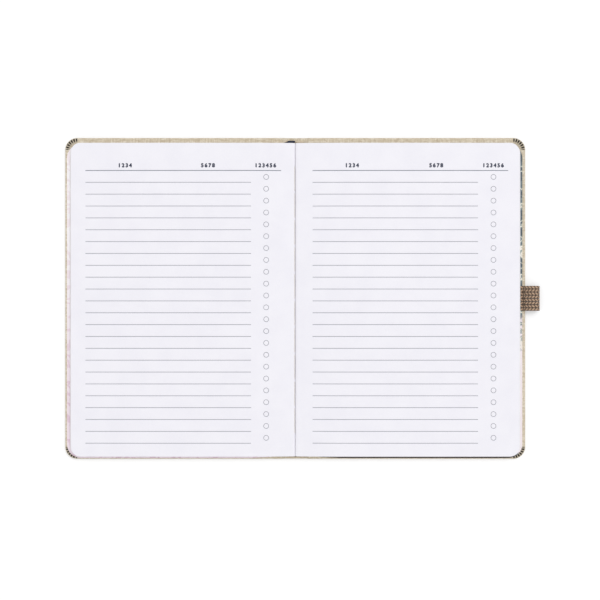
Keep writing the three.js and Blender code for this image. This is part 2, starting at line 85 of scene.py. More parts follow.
# Settings that many nodes share
add, subtract, multiply, divide, multiplyAdd = [
    {"operation": name} for name in ("ADD", "SUBTRACT", "MULTIPLY", "DIVIDE", "MULTIPLY_ADD")]
sine, cosine, absolute, floorOf, scaleVector = [
    {"operation": name} for name in ("SINE", "COSINE", "ABSOLUTE", "FLOOR", "SCALE")]
smooth = {"interpolation_type": "SMOOTHSTEP"}
colours, numbers = {"data_type": "RGBA"}, {"data_type": "FLOAT"}


def linear(code):
    # From sRGB hex to a linear colour
    channels = [int(code[i:i + 2], 16) / 255 for i in (0, 2, 4)]
    return tuple(c / 12.92 if c <= 0.04045 else ((c + 0.055) / 1.055) ** 2.4 for c in channels) + (1.0,)


def newMaterial(name, roughness):
    # The new material, its tree and its shader
    material = bpy.data.materials.new(name)
    material.use_nodes = True
    tree = material.node_tree
    shader = tree.nodes["Principled BSDF"]
    return material, tree, setInputs(tree, shader, {"Roughness": roughness})


def paintedGapShade(tree, colour, dark):
    # The attribute called fold is a share of painted shade: it darkens the gaps between pleats and between
    # ribs, where shade would fall
    fold = addNode(tree, "ShaderNodeAttribute", {"attribute_name": "fold"}).outputs["Fac"]
    return addNode(tree, "ShaderNodeMix", colours, {"Factor": fold, "A": colour, "B": linear(dark)})


# Threads to one drift of their line, how much a crossing lifts a thread, and shift of the weft's tones
weaveForm = {"driftThreads": 9, "crossing": 0.45, "crown": 0.55, "toneShift": 0.37}


def weave(tree, coords, pitch, wander):
    # Plain weave: height and tone of the thread on top, with warp along V and weft along U
    drift = addNode(tree, "ShaderNodeTexNoise", None, {
        "Vector": coords, "Scale": 1 / (pitch * weaveForm["driftThreads"])})
    centred = addNode(tree, "ShaderNodeVectorMath", subtract, {0: drift.outputs["Color"], 1: (0.5, 0.5, 0.5)})
    wavering = addNode(tree, "ShaderNodeVectorMath", scaleVector, {0: centred, "Scale": wander})
    threads = addNode(tree, "ShaderNodeVectorMath", scaleVector, {0: coords, "Scale": 1 / pitch})
    moved = addNode(tree, "ShaderNodeVectorMath", add, {0: threads, 1: wavering})
    parts = addNode(tree, "ShaderNodeSeparateXYZ", None, {0: moved}).outputs
    turns = [addNode(tree, "ShaderNodeMath", multiply, {0: parts[i], 1: halfTurn}) for i in (0, 1)]
    waves = [addNode(tree, "ShaderNodeMath", sine, {0: turn}) for turn in turns]
    both = addNode(tree, "ShaderNodeMath", multiply, {0: waves[0], 1: waves[1]})
    over = addNode(tree, "ShaderNodeMath", {"operation": "GREATER_THAN"}, {0: both, 1: 0.0})
    warp, weft = [addNode(tree, "ShaderNodeMath", absolute, {0: wave}) for wave in waves]
    heights, tones = [], []
    for i, thread, crossing in ((0, warp, weft), (1, weft, warp)):
        crown = addNode(tree, "ShaderNodeMath", multiplyAdd, {
            0: crossing, 1: weaveForm["crossing"], 2: weaveForm["crown"]})
        heights.append(addNode(tree, "ShaderNodeMath", multiply, {0: thread, 1: crown}))
        along = addNode(tree, "ShaderNodeMath", add, {0: parts[i], 1: weaveForm["toneShift"] * i})
        count = addNode(tree, "ShaderNodeMath", floorOf, {0: along})
        tones.append(addNode(tree, "ShaderNodeTexWhiteNoise", {"noise_dimensions": "1D"}, {"W": count}))
    return [addNode(tree, "ShaderNodeMix", numbers, {"Factor": over, "A": pair[1], "B": pair[0]})
            for pair in (heights, tones)]


# Materials

# The threads of book cloth are about 0.4 mm apart. They are drawn 0.62 mm apart, so that they show
# fold is the near-black colour of the painted shade in the gaps between the corner pleats
cloth = {"light": "F6EFDF", "mid": "EBE0CA", "dark": "C4B59C", "slub": "D4C6AB", "shade": "BEAB8E",
         "fold": "241C15", "pitch": 0.62, "wander": 0.55, "slubSize": 7, "slubStretch": 7.0, "patch": 1.9,
         "patchShare": 0.5, "fuzz": 0.16, "fuzzShare": 0.35, "bump": 0.11, "roughness": 0.86, "sheen": 0.12}


def linenCloth():
    # Natural linen book cloth: khaki threads of uneven tone with slubs, matt, with dark gaps between
    material, tree, shader = newMaterial("linenBookCloth", cloth["roughness"])
    coords = addNode(tree, "ShaderNodeUVMap", {"uv_map": "flat"})
    height, tone = weave(tree, coords, cloth["pitch"] * mm, cloth["wander"])
    slubs = []
    for stretch in ((1.0, cloth["slubStretch"], 1.0), (cloth["slubStretch"], 1.0, 1.0)):
        drawn = addNode(tree, "ShaderNodeVectorMath", multiply, {0: coords, 1: stretch})
        slubs.append(addNode(tree, "ShaderNodeTexNoise", None, {
            "Vector": drawn, "Scale": 1 / (cloth["slubSize"] * mm), "Detail": 3.0}))
    streak = addNode(tree, "ShaderNodeMath", multiply, {0: slubs[0], 1: slubs[1]})
    slubShare = addNode(tree, "ShaderNodeMapRange", smooth, {
        "Value": streak, "From Min": 0.34, "From Max": 0.16})
    patch = addNode(tree, "ShaderNodeTexNoise", None, {
        "Vector": coords, "Scale": 1 / (cloth["patch"] * mm), "Roughness": 0.6})
    patchFade = addNode(tree, "ShaderNodeMapRange", smooth, {
        "Value": patch, "From Min": 0.5, "From Max": 0.64})
    patchShare = addNode(tree, "ShaderNodeMath", multiply, {0: patchFade, 1: cloth["patchShare"]})
    gaps = addNode(tree, "ShaderNodeMapRange", smooth, {"Value": height, "From Min": 0.62, "From Max": 0.12})
    body = linear(cloth["mid"])
    for share, name in ((tone, "light"), (slubShare, "slub"), (patchShare, "shade"), (gaps, "dark")):
        body = addNode(tree, "ShaderNodeMix", colours, {"Factor": share, "A": body, "B": linear(cloth[name])})
    fuzz = addNode(tree, "ShaderNodeTexNoise", None, {"Vector": coords, "Scale": 1 / (cloth["fuzz"] * mm)})
    raised = addNode(tree, "ShaderNodeMath", multiplyAdd, {
        0: fuzz, 1: cloth["fuzzShare"], 2: height})
    relief = addNode(tree, "ShaderNodeBump", None, {"Height": raised, "Distance": cloth["bump"] * mm})
    setInputs(tree, shader, {"Base Color": paintedGapShade(tree, body, cloth["fold"]), "Normal": relief,
                             "Sheen Weight": cloth["sheen"]})
    return material


# Single fibres are too fine to show. They are drawn as clumps 0.7 mm wide
paper = {"face": "F3F1F6", "shade": "EFEDF3", "edgeFace": "FAF8F7", "edgeShade": "F1EEEE", "cloud": 14,
         "fibre": 0.7, "bump": 0.006, "roughness": 0.78}


def writingPaper(name, face, shade):
    # Uncoated writing paper: very faint mottling and fibre, matt
    material, tree, shader = newMaterial(name, paper["roughness"])
    coords = addNode(tree, "ShaderNodeTexCoord").outputs["Object"]
    cloud = addNode(tree, "ShaderNodeTexNoise", None, {
        "Vector": coords, "Scale": 1 / (paper["cloud"] * mm), "Detail": 3.0})
    fibre = addNode(tree, "ShaderNodeTexNoise", None, {
        "Vector": coords, "Scale": 1 / (paper["fibre"] * mm), "Detail": 4.0, "Roughness": 0.65})
    fine = addNode(tree, "ShaderNodeMath", multiply, {0: fibre, 1: 0.5})
    mottled = addNode(tree, "ShaderNodeMath", multiplyAdd, {0: cloud, 1: 0.5, 2: fine})
    share = addNode(tree, "ShaderNodeMapRange", smooth, {
        "Value": mottled, "From Min": 0.36, "From Max": 0.66})
    colour = addNode(tree, "ShaderNodeMix", colours, {"Factor": share, "A": linear(face), "B": linear(shade)})
    relief = addNode(tree, "ShaderNodeBump", None, {"Height": fibre, "Distance": paper["bump"] * mm})
    setInputs(tree, shader, {"Base Color": colour, "Normal": relief})
    return material


inkLook = {"row": "8B8C95", "rule": "6F7482", "heading": "161F3B", "worn": "E4E4EA", "wear": 0.1,
           "grain": 0.4, "bump": 0.004, "roughness": 0.7}


def pageInk(name, code):
    # Offset ink soaked into paper: even tone with a trace of fibre, matt
    material, tree, shader = newMaterial(name, inkLook["roughness"])
    coords = addNode(tree, "ShaderNodeTexCoord").outputs["Object"]
    grain = addNode(tree, "ShaderNodeTexNoise", None, {
        "Vector": coords, "Scale": 1 / (inkLook["grain"] * mm), "Detail": 3.0, "Roughness": 0.7})
    paler = addNode(tree, "ShaderNodeMix", colours, {
        "Factor": inkLook["wear"], "A": linear(code), "B": linear(inkLook["worn"])})
    share = addNode(tree, "ShaderNodeMapRange", smooth, {"Value": grain, "From Min": 0.4, "From Max": 0.7})
    colour = addNode(tree, "ShaderNodeMix", colours, {"Factor": share, "A": linear(code), "B": paler})
    relief = addNode(tree, "ShaderNodeBump", None, {"Height": grain, "Distance": inkLook["bump"] * mm})
    setInputs(tree, shader, {"Base Color": colour, "Normal": relief})
    return material


# At the tail of the back endpaper the paper is paler above the band's start, and below it a dark band of
# painted shadow runs along the strip that shows under the pages
marble = {"pearl": "FBF7F9", "blush": "F6EBEF", "rose": "F1E1EA", "mauve": "E4CAD9", "sage": "8F9F99",
          "slate": "6F7C82", "vein": "515C64", "cream": "F4EDE2", "paintedTailShadow": "2F2729", "flow": 26, "wave": 60,
          "combPitch": 9.24, "phase": 2.6, "roseFrom": 60, "roseTo": -90, "paleFrom": -8, "paleTo": -34,
          "paleWander": 30, "tailShadowFade": -103, "tailShadowStart": -105, "tailShadowEnd": -105.8, "grain": 0.7,
          "bump": 0.012, "roughness": 0.62}


def marbledPaper():
    # Combed marbled end paper: pearl to mauve in front, slate and sage with cream flecks behind, with a band
    # of painted shadow along the tail behind
    material, tree, shader = newMaterial("marbledEndPaper", marble["roughness"])
    coords = addNode(tree, "ShaderNodeTexCoord").outputs["Object"]
    across, along = addNode(tree, "ShaderNodeSeparateXYZ", None, {0: coords}).outputs[:2]
    flow = addNode(tree, "ShaderNodeTexNoise", None, {
        "Vector": coords, "Scale": 1 / (marble["flow"] * mm), "Detail": 3.0, "Roughness": 0.55})
    centred = addNode(tree, "ShaderNodeVectorMath", subtract, {0: flow.outputs["Color"], 1: (0.5, 0.5, 0.5)})
    drawn = addNode(tree, "ShaderNodeVectorMath", scaleVector, {0: centred, "Scale": marble["wave"] * mm})
    bent = addNode(tree, "ShaderNodeVectorMath", add, {0: coords, 1: drawn})
    bandScale = 2 * halfTurn / 20 / (marble["combPitch"] * mm)  # the node runs 20 radians to a unit
    comb = addNode(tree, "ShaderNodeTexWave", {"wave_type": "BANDS", "bands_direction": "Y"}, {
        "Vector": bent, "Scale": bandScale, "Distortion": 8.0, "Detail": 3.0, "Detail Scale": 1.6,
        "Detail Roughness": 0.6, "Phase Offset": marble["phase"]}).outputs["Fac"]
    uneven = addNode(tree, "ShaderNodeMath", subtract, {0: comb, 1: 0.5})
    lowEdge = addNode(tree, "ShaderNodeMath", multiplyAdd, {
        0: uneven, 1: marble["paleWander"] * mm, 2: along})
    shares = {}
    for name, value, start, end in (
            ("low", along, marble["roseFrom"] * mm, marble["roseTo"] * mm), ("veins", comb, 0.45, 0.8),
            ("slate", comb, 0.25, 0.6), ("sage", comb, 0.8, 0.88), ("cream", comb, 0.96, 0.99),
            ("paler", lowEdge, marble["paleFrom"] * mm, marble["paleTo"] * mm),
            ("aboveTailShadow", along, marble["tailShadowStart"] * mm, marble["tailShadowFade"] * mm),
            ("paintedTailShadow", along, marble["tailShadowStart"] * mm, marble["tailShadowEnd"] * mm)):
        shares[name] = addNode(tree, "ShaderNodeMapRange", smooth, {
            "Value": value, "From Min": start, "From Max": end})
    shares["blush"] = addNode(tree, "ShaderNodeMath", multiply, {0: shares["paler"], 1: shares["aboveTailShadow"]})
    body, vein = [addNode(tree, "ShaderNodeMix", colours, {
        "Factor": shares["low"], "A": linear(marble[high]), "B": linear(marble[low])})
        for high, low in (("pearl", "rose"), ("blush", "mauve"))]
    pale = addNode(tree, "ShaderNodeMix", colours, {"Factor": shares["veins"], "A": body, "B": vein})
    behind = linear(marble["vein"])
    # Behind, the blush and then the painted shadow at the tail are laid over the marble
    for name in ("slate", "sage", "cream", "blush", "paintedTailShadow"):
        behind = addNode(tree, "ShaderNodeMix", colours, {
            "Factor": shares[name], "A": behind, "B": linear(marble[name])})
    isBack = addNode(tree, "ShaderNodeMath", {"operation": "GREATER_THAN"}, {0: across, 1: 0.0})
    grain = addNode(tree, "ShaderNodeTexNoise", None, {
        "Vector": coords, "Scale": 1 / (marble["grain"] * mm), "Detail": 3.0})
    relief = addNode(tree, "ShaderNodeBump", None, {"Height": grain, "Distance": marble["bump"] * mm})
    colour = addNode(tree, "ShaderNodeMix", colours, {"Factor": isBack, "A": pale, "B": behind})
    setInputs(tree, shader, {"Base Color": colour, "Normal": relief})
    return material


boardLook = {"light": "A39C90", "dark": "7E776C", "fleck": 0.8, "bump": 0.05, "roughness": 0.93}


def bookBoard():
    # Grey pressed board: flecks of mixed fibre, matt
    material, tree, shader = newMaterial("greyBoard", boardLook["roughness"])
    coords = addNode(tree, "ShaderNodeTexCoord").outputs["Object"]
    fleck = addNode(tree, "ShaderNodeTexNoise", None, {
        "Vector": coords, "Scale": 1 / (boardLook["fleck"] * mm), "Detail": 5.0, "Roughness": 0.7})
    share = addNode(tree, "ShaderNodeMapRange", smooth, {"Value": fleck, "From Min": 0.35, "From Max": 0.7})
    colour = addNode(tree, "ShaderNodeMix", colours, {
        "Factor": share, "A": linear(boardLook["light"]), "B": linear(boardLook["dark"])})
    relief = addNode(tree, "ShaderNodeBump", None, {"Height": fleck, "Distance": boardLook["bump"] * mm})
    setInputs(tree, shader, {"Base Color": colour, "Normal": relief})
    return material


mullLook = {"glue": "B9AE97", "light": "E9E3D6", "dark": "DAD2C2", "pitch": 0.8, "wander": 0.25, "bump": 0.08,
            "roughness": 0.8}


def gauze():
    # Mull: open cotton gauze set in glue, off-white threads over a darker glue film
    material, tree, shader = newMaterial("cottonMull", mullLook["roughness"])
    coords = addNode(tree, "ShaderNodeTexCoord").outputs["Object"]
    height, tone = weave(tree, coords, mullLook["pitch"] * mm, mullLook["wander"])
    threads = addNode(tree, "ShaderNodeMix", colours, {
        "Factor": tone, "A": linear(mullLook["light"]), "B": linear(mullLook["dark"])})
    share = addNode(tree, "ShaderNodeMapRange", smooth, {"Value": height, "From Min": 0.25, "From Max": 0.6})
    colour = addNode(tree, "ShaderNodeMix", colours, {
        "Factor": share, "A": linear(mullLook["glue"]), "B": threads})
    relief = addNode(tree, "ShaderNodeBump", None, {"Height": height, "Distance": mullLook["bump"] * mm})
    setInputs(tree, shader, {"Base Color": colour, "Normal": relief})
    return material


# The fibres of silk and linen are about 0.02 mm thick. They are drawn 0.2 to 0.3 mm thick, so that they show
silkLook = {"light": "E9DCC4", "dark": "B9A588", "fibre": 0.3, "bump": 0.04, "roughness": 0.6, "sheen": 0.25}
linenLook = {"light": "EFEAE0", "dark": "CFC6B5", "fibre": 0.2, "bump": 0.04, "roughness": 0.5, "sheen": 0.25}


def spunThread(name, look):
    # Spun thread: fine fibres along the strand, with a soft sheen
    material, tree, shader = newMaterial(name, look["roughness"])
    coords = addNode(tree, "ShaderNodeTexCoord").outputs["Object"]
    fibre = addNode(tree, "ShaderNodeTexNoise", None, {
        "Vector": coords, "Scale": 1 / (look["fibre"] * mm), "Detail": 3.0, "Roughness": 0.6,
        "Distortion": 0.4})
    share = addNode(tree, "ShaderNodeMapRange", smooth, {"Value": fibre, "From Min": 0.35, "From Max": 0.68})
    colour = addNode(tree, "ShaderNodeMix", colours, {
        "Factor": share, "A": linear(look["light"]), "B": linear(look["dark"])})
    relief = addNode(tree, "ShaderNodeBump", None, {"Height": fibre, "Distance": look["bump"] * mm})
    setInputs(tree, shader, {"Base Color": colour, "Normal": relief, "Sheen Weight": look["sheen"]})
    return material


# The cross ribs of such a ribbon are about 0.15 mm apart. They are drawn 0.28 mm apart, so that they show
satinLook = {"dark": "0E1322", "light": "182038", "rib": 0.28, "streak": 3, "stretch": 9.0, "bump": 0.03,
             "roughness": 0.42, "stretched": 0.6, "specular": 0.2}


def satin():
    # Navy satin ribbon: fine cross ribs, anisotropic silk sheen
    material, tree, shader = newMaterial("navySatin", satinLook["roughness"])
    coords = addNode(tree, "ShaderNodeUVMap", {"uv_map": "flat"})
    along = addNode(tree, "ShaderNodeSeparateXYZ", None, {0: coords}).outputs[1]
    turn = addNode(tree, "ShaderNodeMath", multiply, {0: along, 1: halfTurn / (satinLook["rib"] * mm)})
    wave = addNode(tree, "ShaderNodeMath", sine, {0: turn})
    rib = addNode(tree, "ShaderNodeMath", absolute, {0: wave})
    drawn = addNode(tree, "ShaderNodeVectorMath", multiply, {0: coords, 1: (satinLook["stretch"], 1.0, 1.0)})
    streak = addNode(tree, "ShaderNodeTexNoise", None, {
        "Vector": drawn, "Scale": 1 / (satinLook["streak"] * mm), "Detail": 3.0})
    share = addNode(tree, "ShaderNodeMapRange", smooth, {"Value": streak, "From Min": 0.35, "From Max": 0.7})
    colour = addNode(tree, "ShaderNodeMix", colours, {
        "Factor": share, "A": linear(satinLook["dark"]), "B": linear(satinLook["light"])})
    relief = addNode(tree, "ShaderNodeBump", None, {"Height": rib, "Distance": satinLook["bump"] * mm})
    setInputs(tree, shader, {"Base Color": colour, "Normal": relief, "Anisotropic": satinLook["stretched"],
                             "Specular IOR Level": satinLook["specular"]})
    return material


# The wrapped yarns are about 1 mm apart. They are drawn 2.3 mm apart, and their fibres too are coarser than
# life, so that they show
# dark is the colour of the painted shade between the ribs
elasticLook = {"light": "C6A88D", "mid": "A6876D", "dark": "2E2219", "gap": "54412F", "twill": 2.3,
               "slope": 0.8, "fibre": 0.25, "fibreShare": 0.3, "bump": 0.22, "roughness": 0.7, "sheen": 0.2}


def elasticWeave():
    # Woven elastic: taupe yarn wrapped slanting round each rib, dark between the yarns, with painted shade
    # between the ribs
    material, tree, shader = newMaterial("taupeElastic", elasticLook["roughness"])
    coords = addNode(tree, "ShaderNodeUVMap", {"uv_map": "flat"})
    along, across = addNode(tree, "ShaderNodeSeparateXYZ", None, {0: coords}).outputs[:2]
    slant = addNode(tree, "ShaderNodeMath", multiplyAdd, {0: across, 1: elasticLook["slope"], 2: along})
    turn = addNode(tree, "ShaderNodeMath", multiply, {0: slant, 1: halfTurn / (elasticLook["twill"] * mm)})
    wave = addNode(tree, "ShaderNodeMath", sine, {0: turn})
    twill = addNode(tree, "ShaderNodeMath", absolute, {0: wave})
    fibre = addNode(tree, "ShaderNodeTexNoise", None, {
        "Vector": coords, "Scale": 1 / (elasticLook["fibre"] * mm), "Detail": 3.0, "Roughness": 0.6})
    share = addNode(tree, "ShaderNodeMapRange", smooth, {"Value": fibre, "From Min": 0.3, "From Max": 0.7})
    yarn = addNode(tree, "ShaderNodeMix", colours, {
        "Factor": share, "A": linear(elasticLook["mid"]), "B": linear(elasticLook["light"])})
    gaps = addNode(tree, "ShaderNodeMapRange", smooth, {"Value": twill, "From Min": 0.8, "From Max": 0.35})
    colour = addNode(tree, "ShaderNodeMix", colours, {
        "Factor": gaps, "A": yarn, "B": linear(elasticLook["gap"])})
    raised = addNode(tree, "ShaderNodeMath", multiplyAdd, {
        0: fibre, 1: elasticLook["fibreShare"], 2: twill})
    relief = addNode(tree, "ShaderNodeBump", None, {"Height": raised, "Distance": elasticLook["bump"] * mm})
    # The fold attribute paints shade in the dark colour on the ribs' sides
    setInputs(tree, shader, {"Base Color": paintedGapShade(tree, colour, elasticLook["dark"]), "Normal": relief,
                             "Sheen Weight": elasticLook["sheen"]})
    return material


looks = {
    "cloth": linenCloth(), "paper": writingPaper("coolWritingPaper", paper["face"], paper["shade"]),
    "edges": writingPaper("warmPaperEdges", paper["edgeFace"], paper["edgeShade"]),
    "ink": pageInk("greyInk", inkLook["row"]), "rule": pageInk("slateInk", inkLook["rule"]),
    "heading": pageInk("navyInk", inkLook["heading"]), "marble": marbledPaper(), "board": bookBoard(),
    "mull": gauze(), "band": spunThread("creamBandSilk", silkLook), "satin": satin(),
    "thread": spunThread("waxedLinenThread", linenLook), "elastic": elasticWeave()}
print("materials ready")


# Mesh helpers


def closeOut(obj):
    # Turns all faces outwards
    work = bmesh.new()
    work.from_mesh(obj.data)
    bmesh.ops.recalc_face_normals(work, faces=work.faces)
    work.to_mesh(obj.data)
    work.free()
    return obj


def ease(share):
    # Smooth step from 0 to 1
    share = min(1.0, max(0.0, share))
    return share * share * (3 - 2 * share)


def boxOf(node):
    return [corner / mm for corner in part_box(node)]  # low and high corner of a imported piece, in mm


def meshObject(name, points, faces, look, flat=None, fold=None):
    # Points in mm; flat is the developed place of each point, in mm, for the UV map; fold is each point's
    # share of painted shade
    mesh = bpy.data.meshes.new(name)
    mesh.from_pydata([tuple(c * mm for c in p) for p in points], [], faces)
    if flat:
        layer = mesh.uv_layers.new(name="flat")
        for loop in mesh.loops:
            layer.data[loop.index].uv = [c * mm for c in flat[loop.vertex_index]]
    if fold:
        mesh.attributes.new("fold", "FLOAT", "POINT").data.foreach_set("value", fold)
    mesh.materials.append(look)
    obj = bpy.data.objects.new(name, mesh)
    bpy.context.scene.collection.objects.link(obj)
    mesh.polygons.foreach_set("use_smooth", [True] * len(mesh.polygons))
    return obj


sharpAngle = math.radians(50)


def keepEdges(obj):
    obj.data.set_sharp_from_angle(angle=sharpAngle)  # so that a thin sheet's flat face shades flat
    return obj


def bake(obj):
    # A plain mesh in place of the object's own mesh and its modifiers
    graph = bpy.context.evaluated_depsgraph_get()
    made = bpy.data.meshes.new_from_object(obj.evaluated_get(graph), preserve_all_data_layers=True,
                                           depsgraph=graph)
    obj.modifiers.clear()
    before = obj.data
    obj.data = made
    bpy.data.meshes.remove(before)
    obj.data.name = obj.name
    return obj


def thicken(obj, thickness):
    layer = obj.modifiers.new("skin", "SOLIDIFY")
    layer.thickness = thickness * mm
    layer.offset = -1
    return keepEdges(closeOut(bake(obj)))


def gridFaces(rows, columns, start=0):
    # Faces between neighbouring rows of points, from the point numbered start
    return [(start + i * columns + j, start + (i + 1) * columns + j,
             start + (i + 1) * columns + j + 1, start + i * columns + j + 1)
            for i in range(rows - 1) for j in range(columns - 1)]


def slabFaces(rows, columns):
    # A closed sheet: two grids of points and the rim that joins them
    size = rows * columns
    faces = [f[::-1] for f in gridFaces(rows, columns)] + gridFaces(rows, columns, size)
    rim = [j for j in range(columns)] + [i * columns + columns - 1 for i in range(1, rows)]
    rim += [(rows - 1) * columns + j for j in range(columns - 2, -1, -1)]
    rim += [i * columns for i in range(rows - 2, 0, -1)]
    faces += [(a, b, b + size, a + size) for a, b in zip(rim, rim[1:] + rim[:1])]
    return faces


def attach(obj, body, slotName, *stoodFor):
    # Hides the imported solids that a piece stands for and puts the piece on its body; where a blend is
    # given, only the piece's place is baked in; slotName is not used
    if stoodFor:
        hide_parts(*stoodFor)
    if isinstance(body, str):
        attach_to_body(obj, body)
    else:
        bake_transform(obj)
    return obj


# Node tree helpers


def newTree(name, sockets):
    # A geometry tree with named inputs, and its group input's sockets
    tree = bpy.data.node_groups.new(name, "GeometryNodeTree")
    tree.interface.new_socket("Geometry", in_out="INPUT", socket_type="NodeSocketGeometry")
    for label, kind in sockets.items():
        tree.interface.new_socket(label, in_out="INPUT", socket_type=f"NodeSocket{kind}")
    tree.interface.new_socket("Geometry", in_out="OUTPUT", socket_type="NodeSocketGeometry")
    return tree, addNode(tree, "NodeGroupInput").outputs


def endTree(tree, geometry, look):
    # Realises the instances, sets the material and ends the tree
    solid = addNode(tree, "GeometryNodeRealizeInstances", None, {0: geometry})
    painted = addNode(tree, "GeometryNodeSetMaterial", None, {"Geometry": solid, "Material": look})
    addNode(tree, "NodeGroupOutput", None, {0: painted})


def runTree(obj, tree, values):
    # Sets each named input by its socket's identifier, and leaves a plain mesh
    layer = obj.modifiers.new("nodes", "NODES")
    layer.node_group = tree
    sockets = {s.name: s.identifier for s in tree.interface.items_tree if s.in_out == "INPUT"}
    for name, value in values.items():
        layer[sockets[name]] = value
    bake(obj)
    obj.data.polygons.foreach_set("use_smooth", [True] * len(obj.data.polygons))
    return keepEdges(closeOut(obj))


def pathObject(name, points, closed=False):
    # A line of edges through points in mm
    edges = [(i, i + 1) for i in range(len(points) - 1)] + ([(len(points) - 1, 0)] if closed else [])
    mesh = bpy.data.meshes.new(name)
    mesh.from_pydata([tuple(c * mm for c in p) for p in points], edges, [])
    obj = bpy.data.objects.new(name, mesh)
    bpy.context.scene.collection.objects.link(obj)
    return obj


# Covers

coverCorner = boxOf("back_cloth")[1]
cover = {"reach": coverCorner.x, "half": coverCorner.y, "top": boxOf("back_endpaper")[0].z, "jointReach": 9.2,
         "cornerRadius": 8, "edgeRadius": 0.85, "skin": 0.36, "pleats": 6, "pleatSteps": 14,
         "pleatRise": 0.55, "pleatEnd": 2.05, "pleatRun": 0.4, "pleatStart": 0.3, "pleatCrest": 0.7,
         "pleatSink": 0.3, "paintedShadeStart": 0.9, "paintedShadeLift": 0.8, "paintedShadeRun": 0.22, "paintedShadeFade": 1.6, "edgeStep": 6,
         "pleatMargin": 0.3, "roundSteps": 5,
         "turnIn": (15, 12, 9, 7, 5, 3.2, 2.4, 2.05, 1.8, 1.5, 1.2), "under": (1.6, 3, 5, 7)}


def coverProfile(top, insets, bottomInsets):
    # Inset from the edge, height and developed distance past the edge, from the turn-in to the outside
    radius = cover["edgeRadius"]
    steps = cover["roundSteps"]
    quarter = radius * halfTurn / 2
    side = top - 2 * radius
    rows = [(inset, top, 2 * quarter + side + inset - radius) for inset in insets]
    for i in range(1, steps + 1):
        angle = halfTurn / 2 * i / steps
        rows.append((radius * (1 - math.sin(angle)), top - radius * (1 - math.cos(angle)),
                     quarter + side + quarter * (1 - i / steps)))
    for i in range(steps):
        angle = halfTurn / 2 * i / steps
        rows.append((radius * (1 - math.cos(angle)), radius * (1 - math.sin(angle)),
                     quarter * (1 - i / steps)))
    rows += [(inset, 0.0, radius - inset) for inset in bottomInsets]
    return rows


def coverStations():
    # Places round three edges: edge point, outward direction, corner centre and share through a pleat
    reach, half, radius = cover["reach"], cover["half"], cover["cornerRadius"]
    stations = []
    for end in (-1, 1):
        count = round((reach - radius - cover["jointReach"]) / cover["edgeStep"])
        line = [(cover["jointReach"] + (reach - radius - cover["jointReach"]) * i / count, end * half)
                for i in range(count)]
        line.append((reach - radius - cover["pleatMargin"], end * half))
        line = [((r, y), (0, end), None, None) for r, y in line]
        count = cover["pleats"] * cover["pleatSteps"]
        centre = (reach - radius, end * (half - radius))
        arc = []
        for i in range(count + 1):
            angle = halfTurn / 2 * i / count
            out = (math.sin(angle), end * math.cos(angle))
            arc.append(((centre[0] + radius * out[0], centre[1] + radius * out[1]), out, (centre, end),
                        i / cover["pleatSteps"]))
        part = line + arc
        stations += part if end < 0 else part[::-1]
        if end < 0:
            straight = half - radius - cover["pleatMargin"]
            count = round(2 * straight / cover["edgeStep"])
            stations += [((reach, straight * (2 * i / count - 1)), (1, 0), None, None)
                         for i in range(count + 1)]
    return stations


def pleatHeight(phase):
    # Each pleat climbs slowly and falls steeply on the next one
    share, crest = phase % 1.0, cover["pleatCrest"]
    return share / crest if share < crest else (1 - share) / (1 - crest)


def coverCloth(side, body, node):
    # The cloth of one cover: turned in on three edges, pleated at both corners, open towards the joint
    edge = (cover["edgeRadius"],)
    profile = coverProfile(cover["top"], cover["turnIn"] + edge, edge + cover["under"])
    stations = coverStations()
    points, flat, fold = [], [], []
    for (edgeX, edgeY), out, corner, phase in stations:
        for inset, height, developed in profile:
            x, y = edgeX - out[0] * inset, edgeY - out[1] * inset
            if corner and inset > cover["cornerRadius"]:
                (cx, cy), end = corner
                over = inset - cover["cornerRadius"]
                x, y = cx - over, cy - end * over
            # gap is the point's share of painted shade, highest where a pleat is low, at its fall to the next
            # one
            gap = 0.0
            if phase is not None and inset > 0.0 and height > cover["top"] / 2:
                beyond = inset - cover["pleatEnd"]
                share = max(0.0, min(1.0, -beyond / cover["pleatRun"], inset / cover["pleatStart"]))
                lift = pleatHeight(phase)
                height += cover["pleatRise"] * (lift - cover["pleatSink"]) * share
                low = ease((cover["paintedShadeLift"] - lift) / cover["paintedShadeRun"])
                gap = ease(inset / cover["paintedShadeStart"]) * low * (1 - ease(beyond / cover["paintedShadeFade"]))
            points.append((side * x, y, height))
            flat.append((side * (edgeX + out[0] * developed), edgeY + out[1] * developed))
            fold.append(gap)
    columns = len(profile)
    faces = gridFaces(len(stations), columns)
    floor = [i * columns + columns - 1 for i in range(len(stations))]
    faces.append(tuple(floor[::-1]))
    obj = meshObject(node + "Linen", points, faces, looks["cloth"], flat, fold)
    work = bmesh.new()
    work.from_mesh(obj.data)
    bmesh.ops.remove_doubles(work, verts=work.verts, dist=1e-6)
    bmesh.ops.recalc_face_normals(work, faces=work.faces)
    work.faces.ensure_lookup_table()
    widest = max(work.faces, key=lambda f: f.calc_area())
    if widest.normal.z > 0:
        bmesh.ops.reverse_faces(work, faces=work.faces)
    work.to_mesh(obj.data)
    work.free()
    thicken(obj, cover["skin"])
    return attach(obj, body, "cloth", node)


for side, name in ((-1, "front"), (1, "back")):
    coverCloth(side, f"{name}_half", f"{name}_cloth")
print("covers ready")

spine = {"half": 8.49, "top": 2.2, "underlap": 0.35, "lapNear": 7.5, "lapFar": 9.7, "tuck": 1.5, "skin": 0.3,
         "drop": 0.03, "rowStep": 8, "turnIn": (15, 10, 5, 2), "under": (2.5, 5), "endClear": 1.0,
         "endRun": 4.0, "jointFlat": 4}


def wrapRows(top):
    # Places along the cloth from the head turn-in, round the head, below the spine and round the tail
    edge = (cover["edgeRadius"],)
    profile = coverProfile(top, spine["turnIn"] + edge, edge + spine["under"])
    half = cover["half"]
    head = [(half - inset, height, half + developed) for inset, height, developed in profile]
    end = half - spine["under"][-1]
    count = round(2 * end / spine["rowStep"])
    places = [end - 2 * end * i / count for i in range(1, count)]
    return head + [(y, 0.0, y) for y in places] + [(-y, z, -v) for y, z, v in head[::-1]]


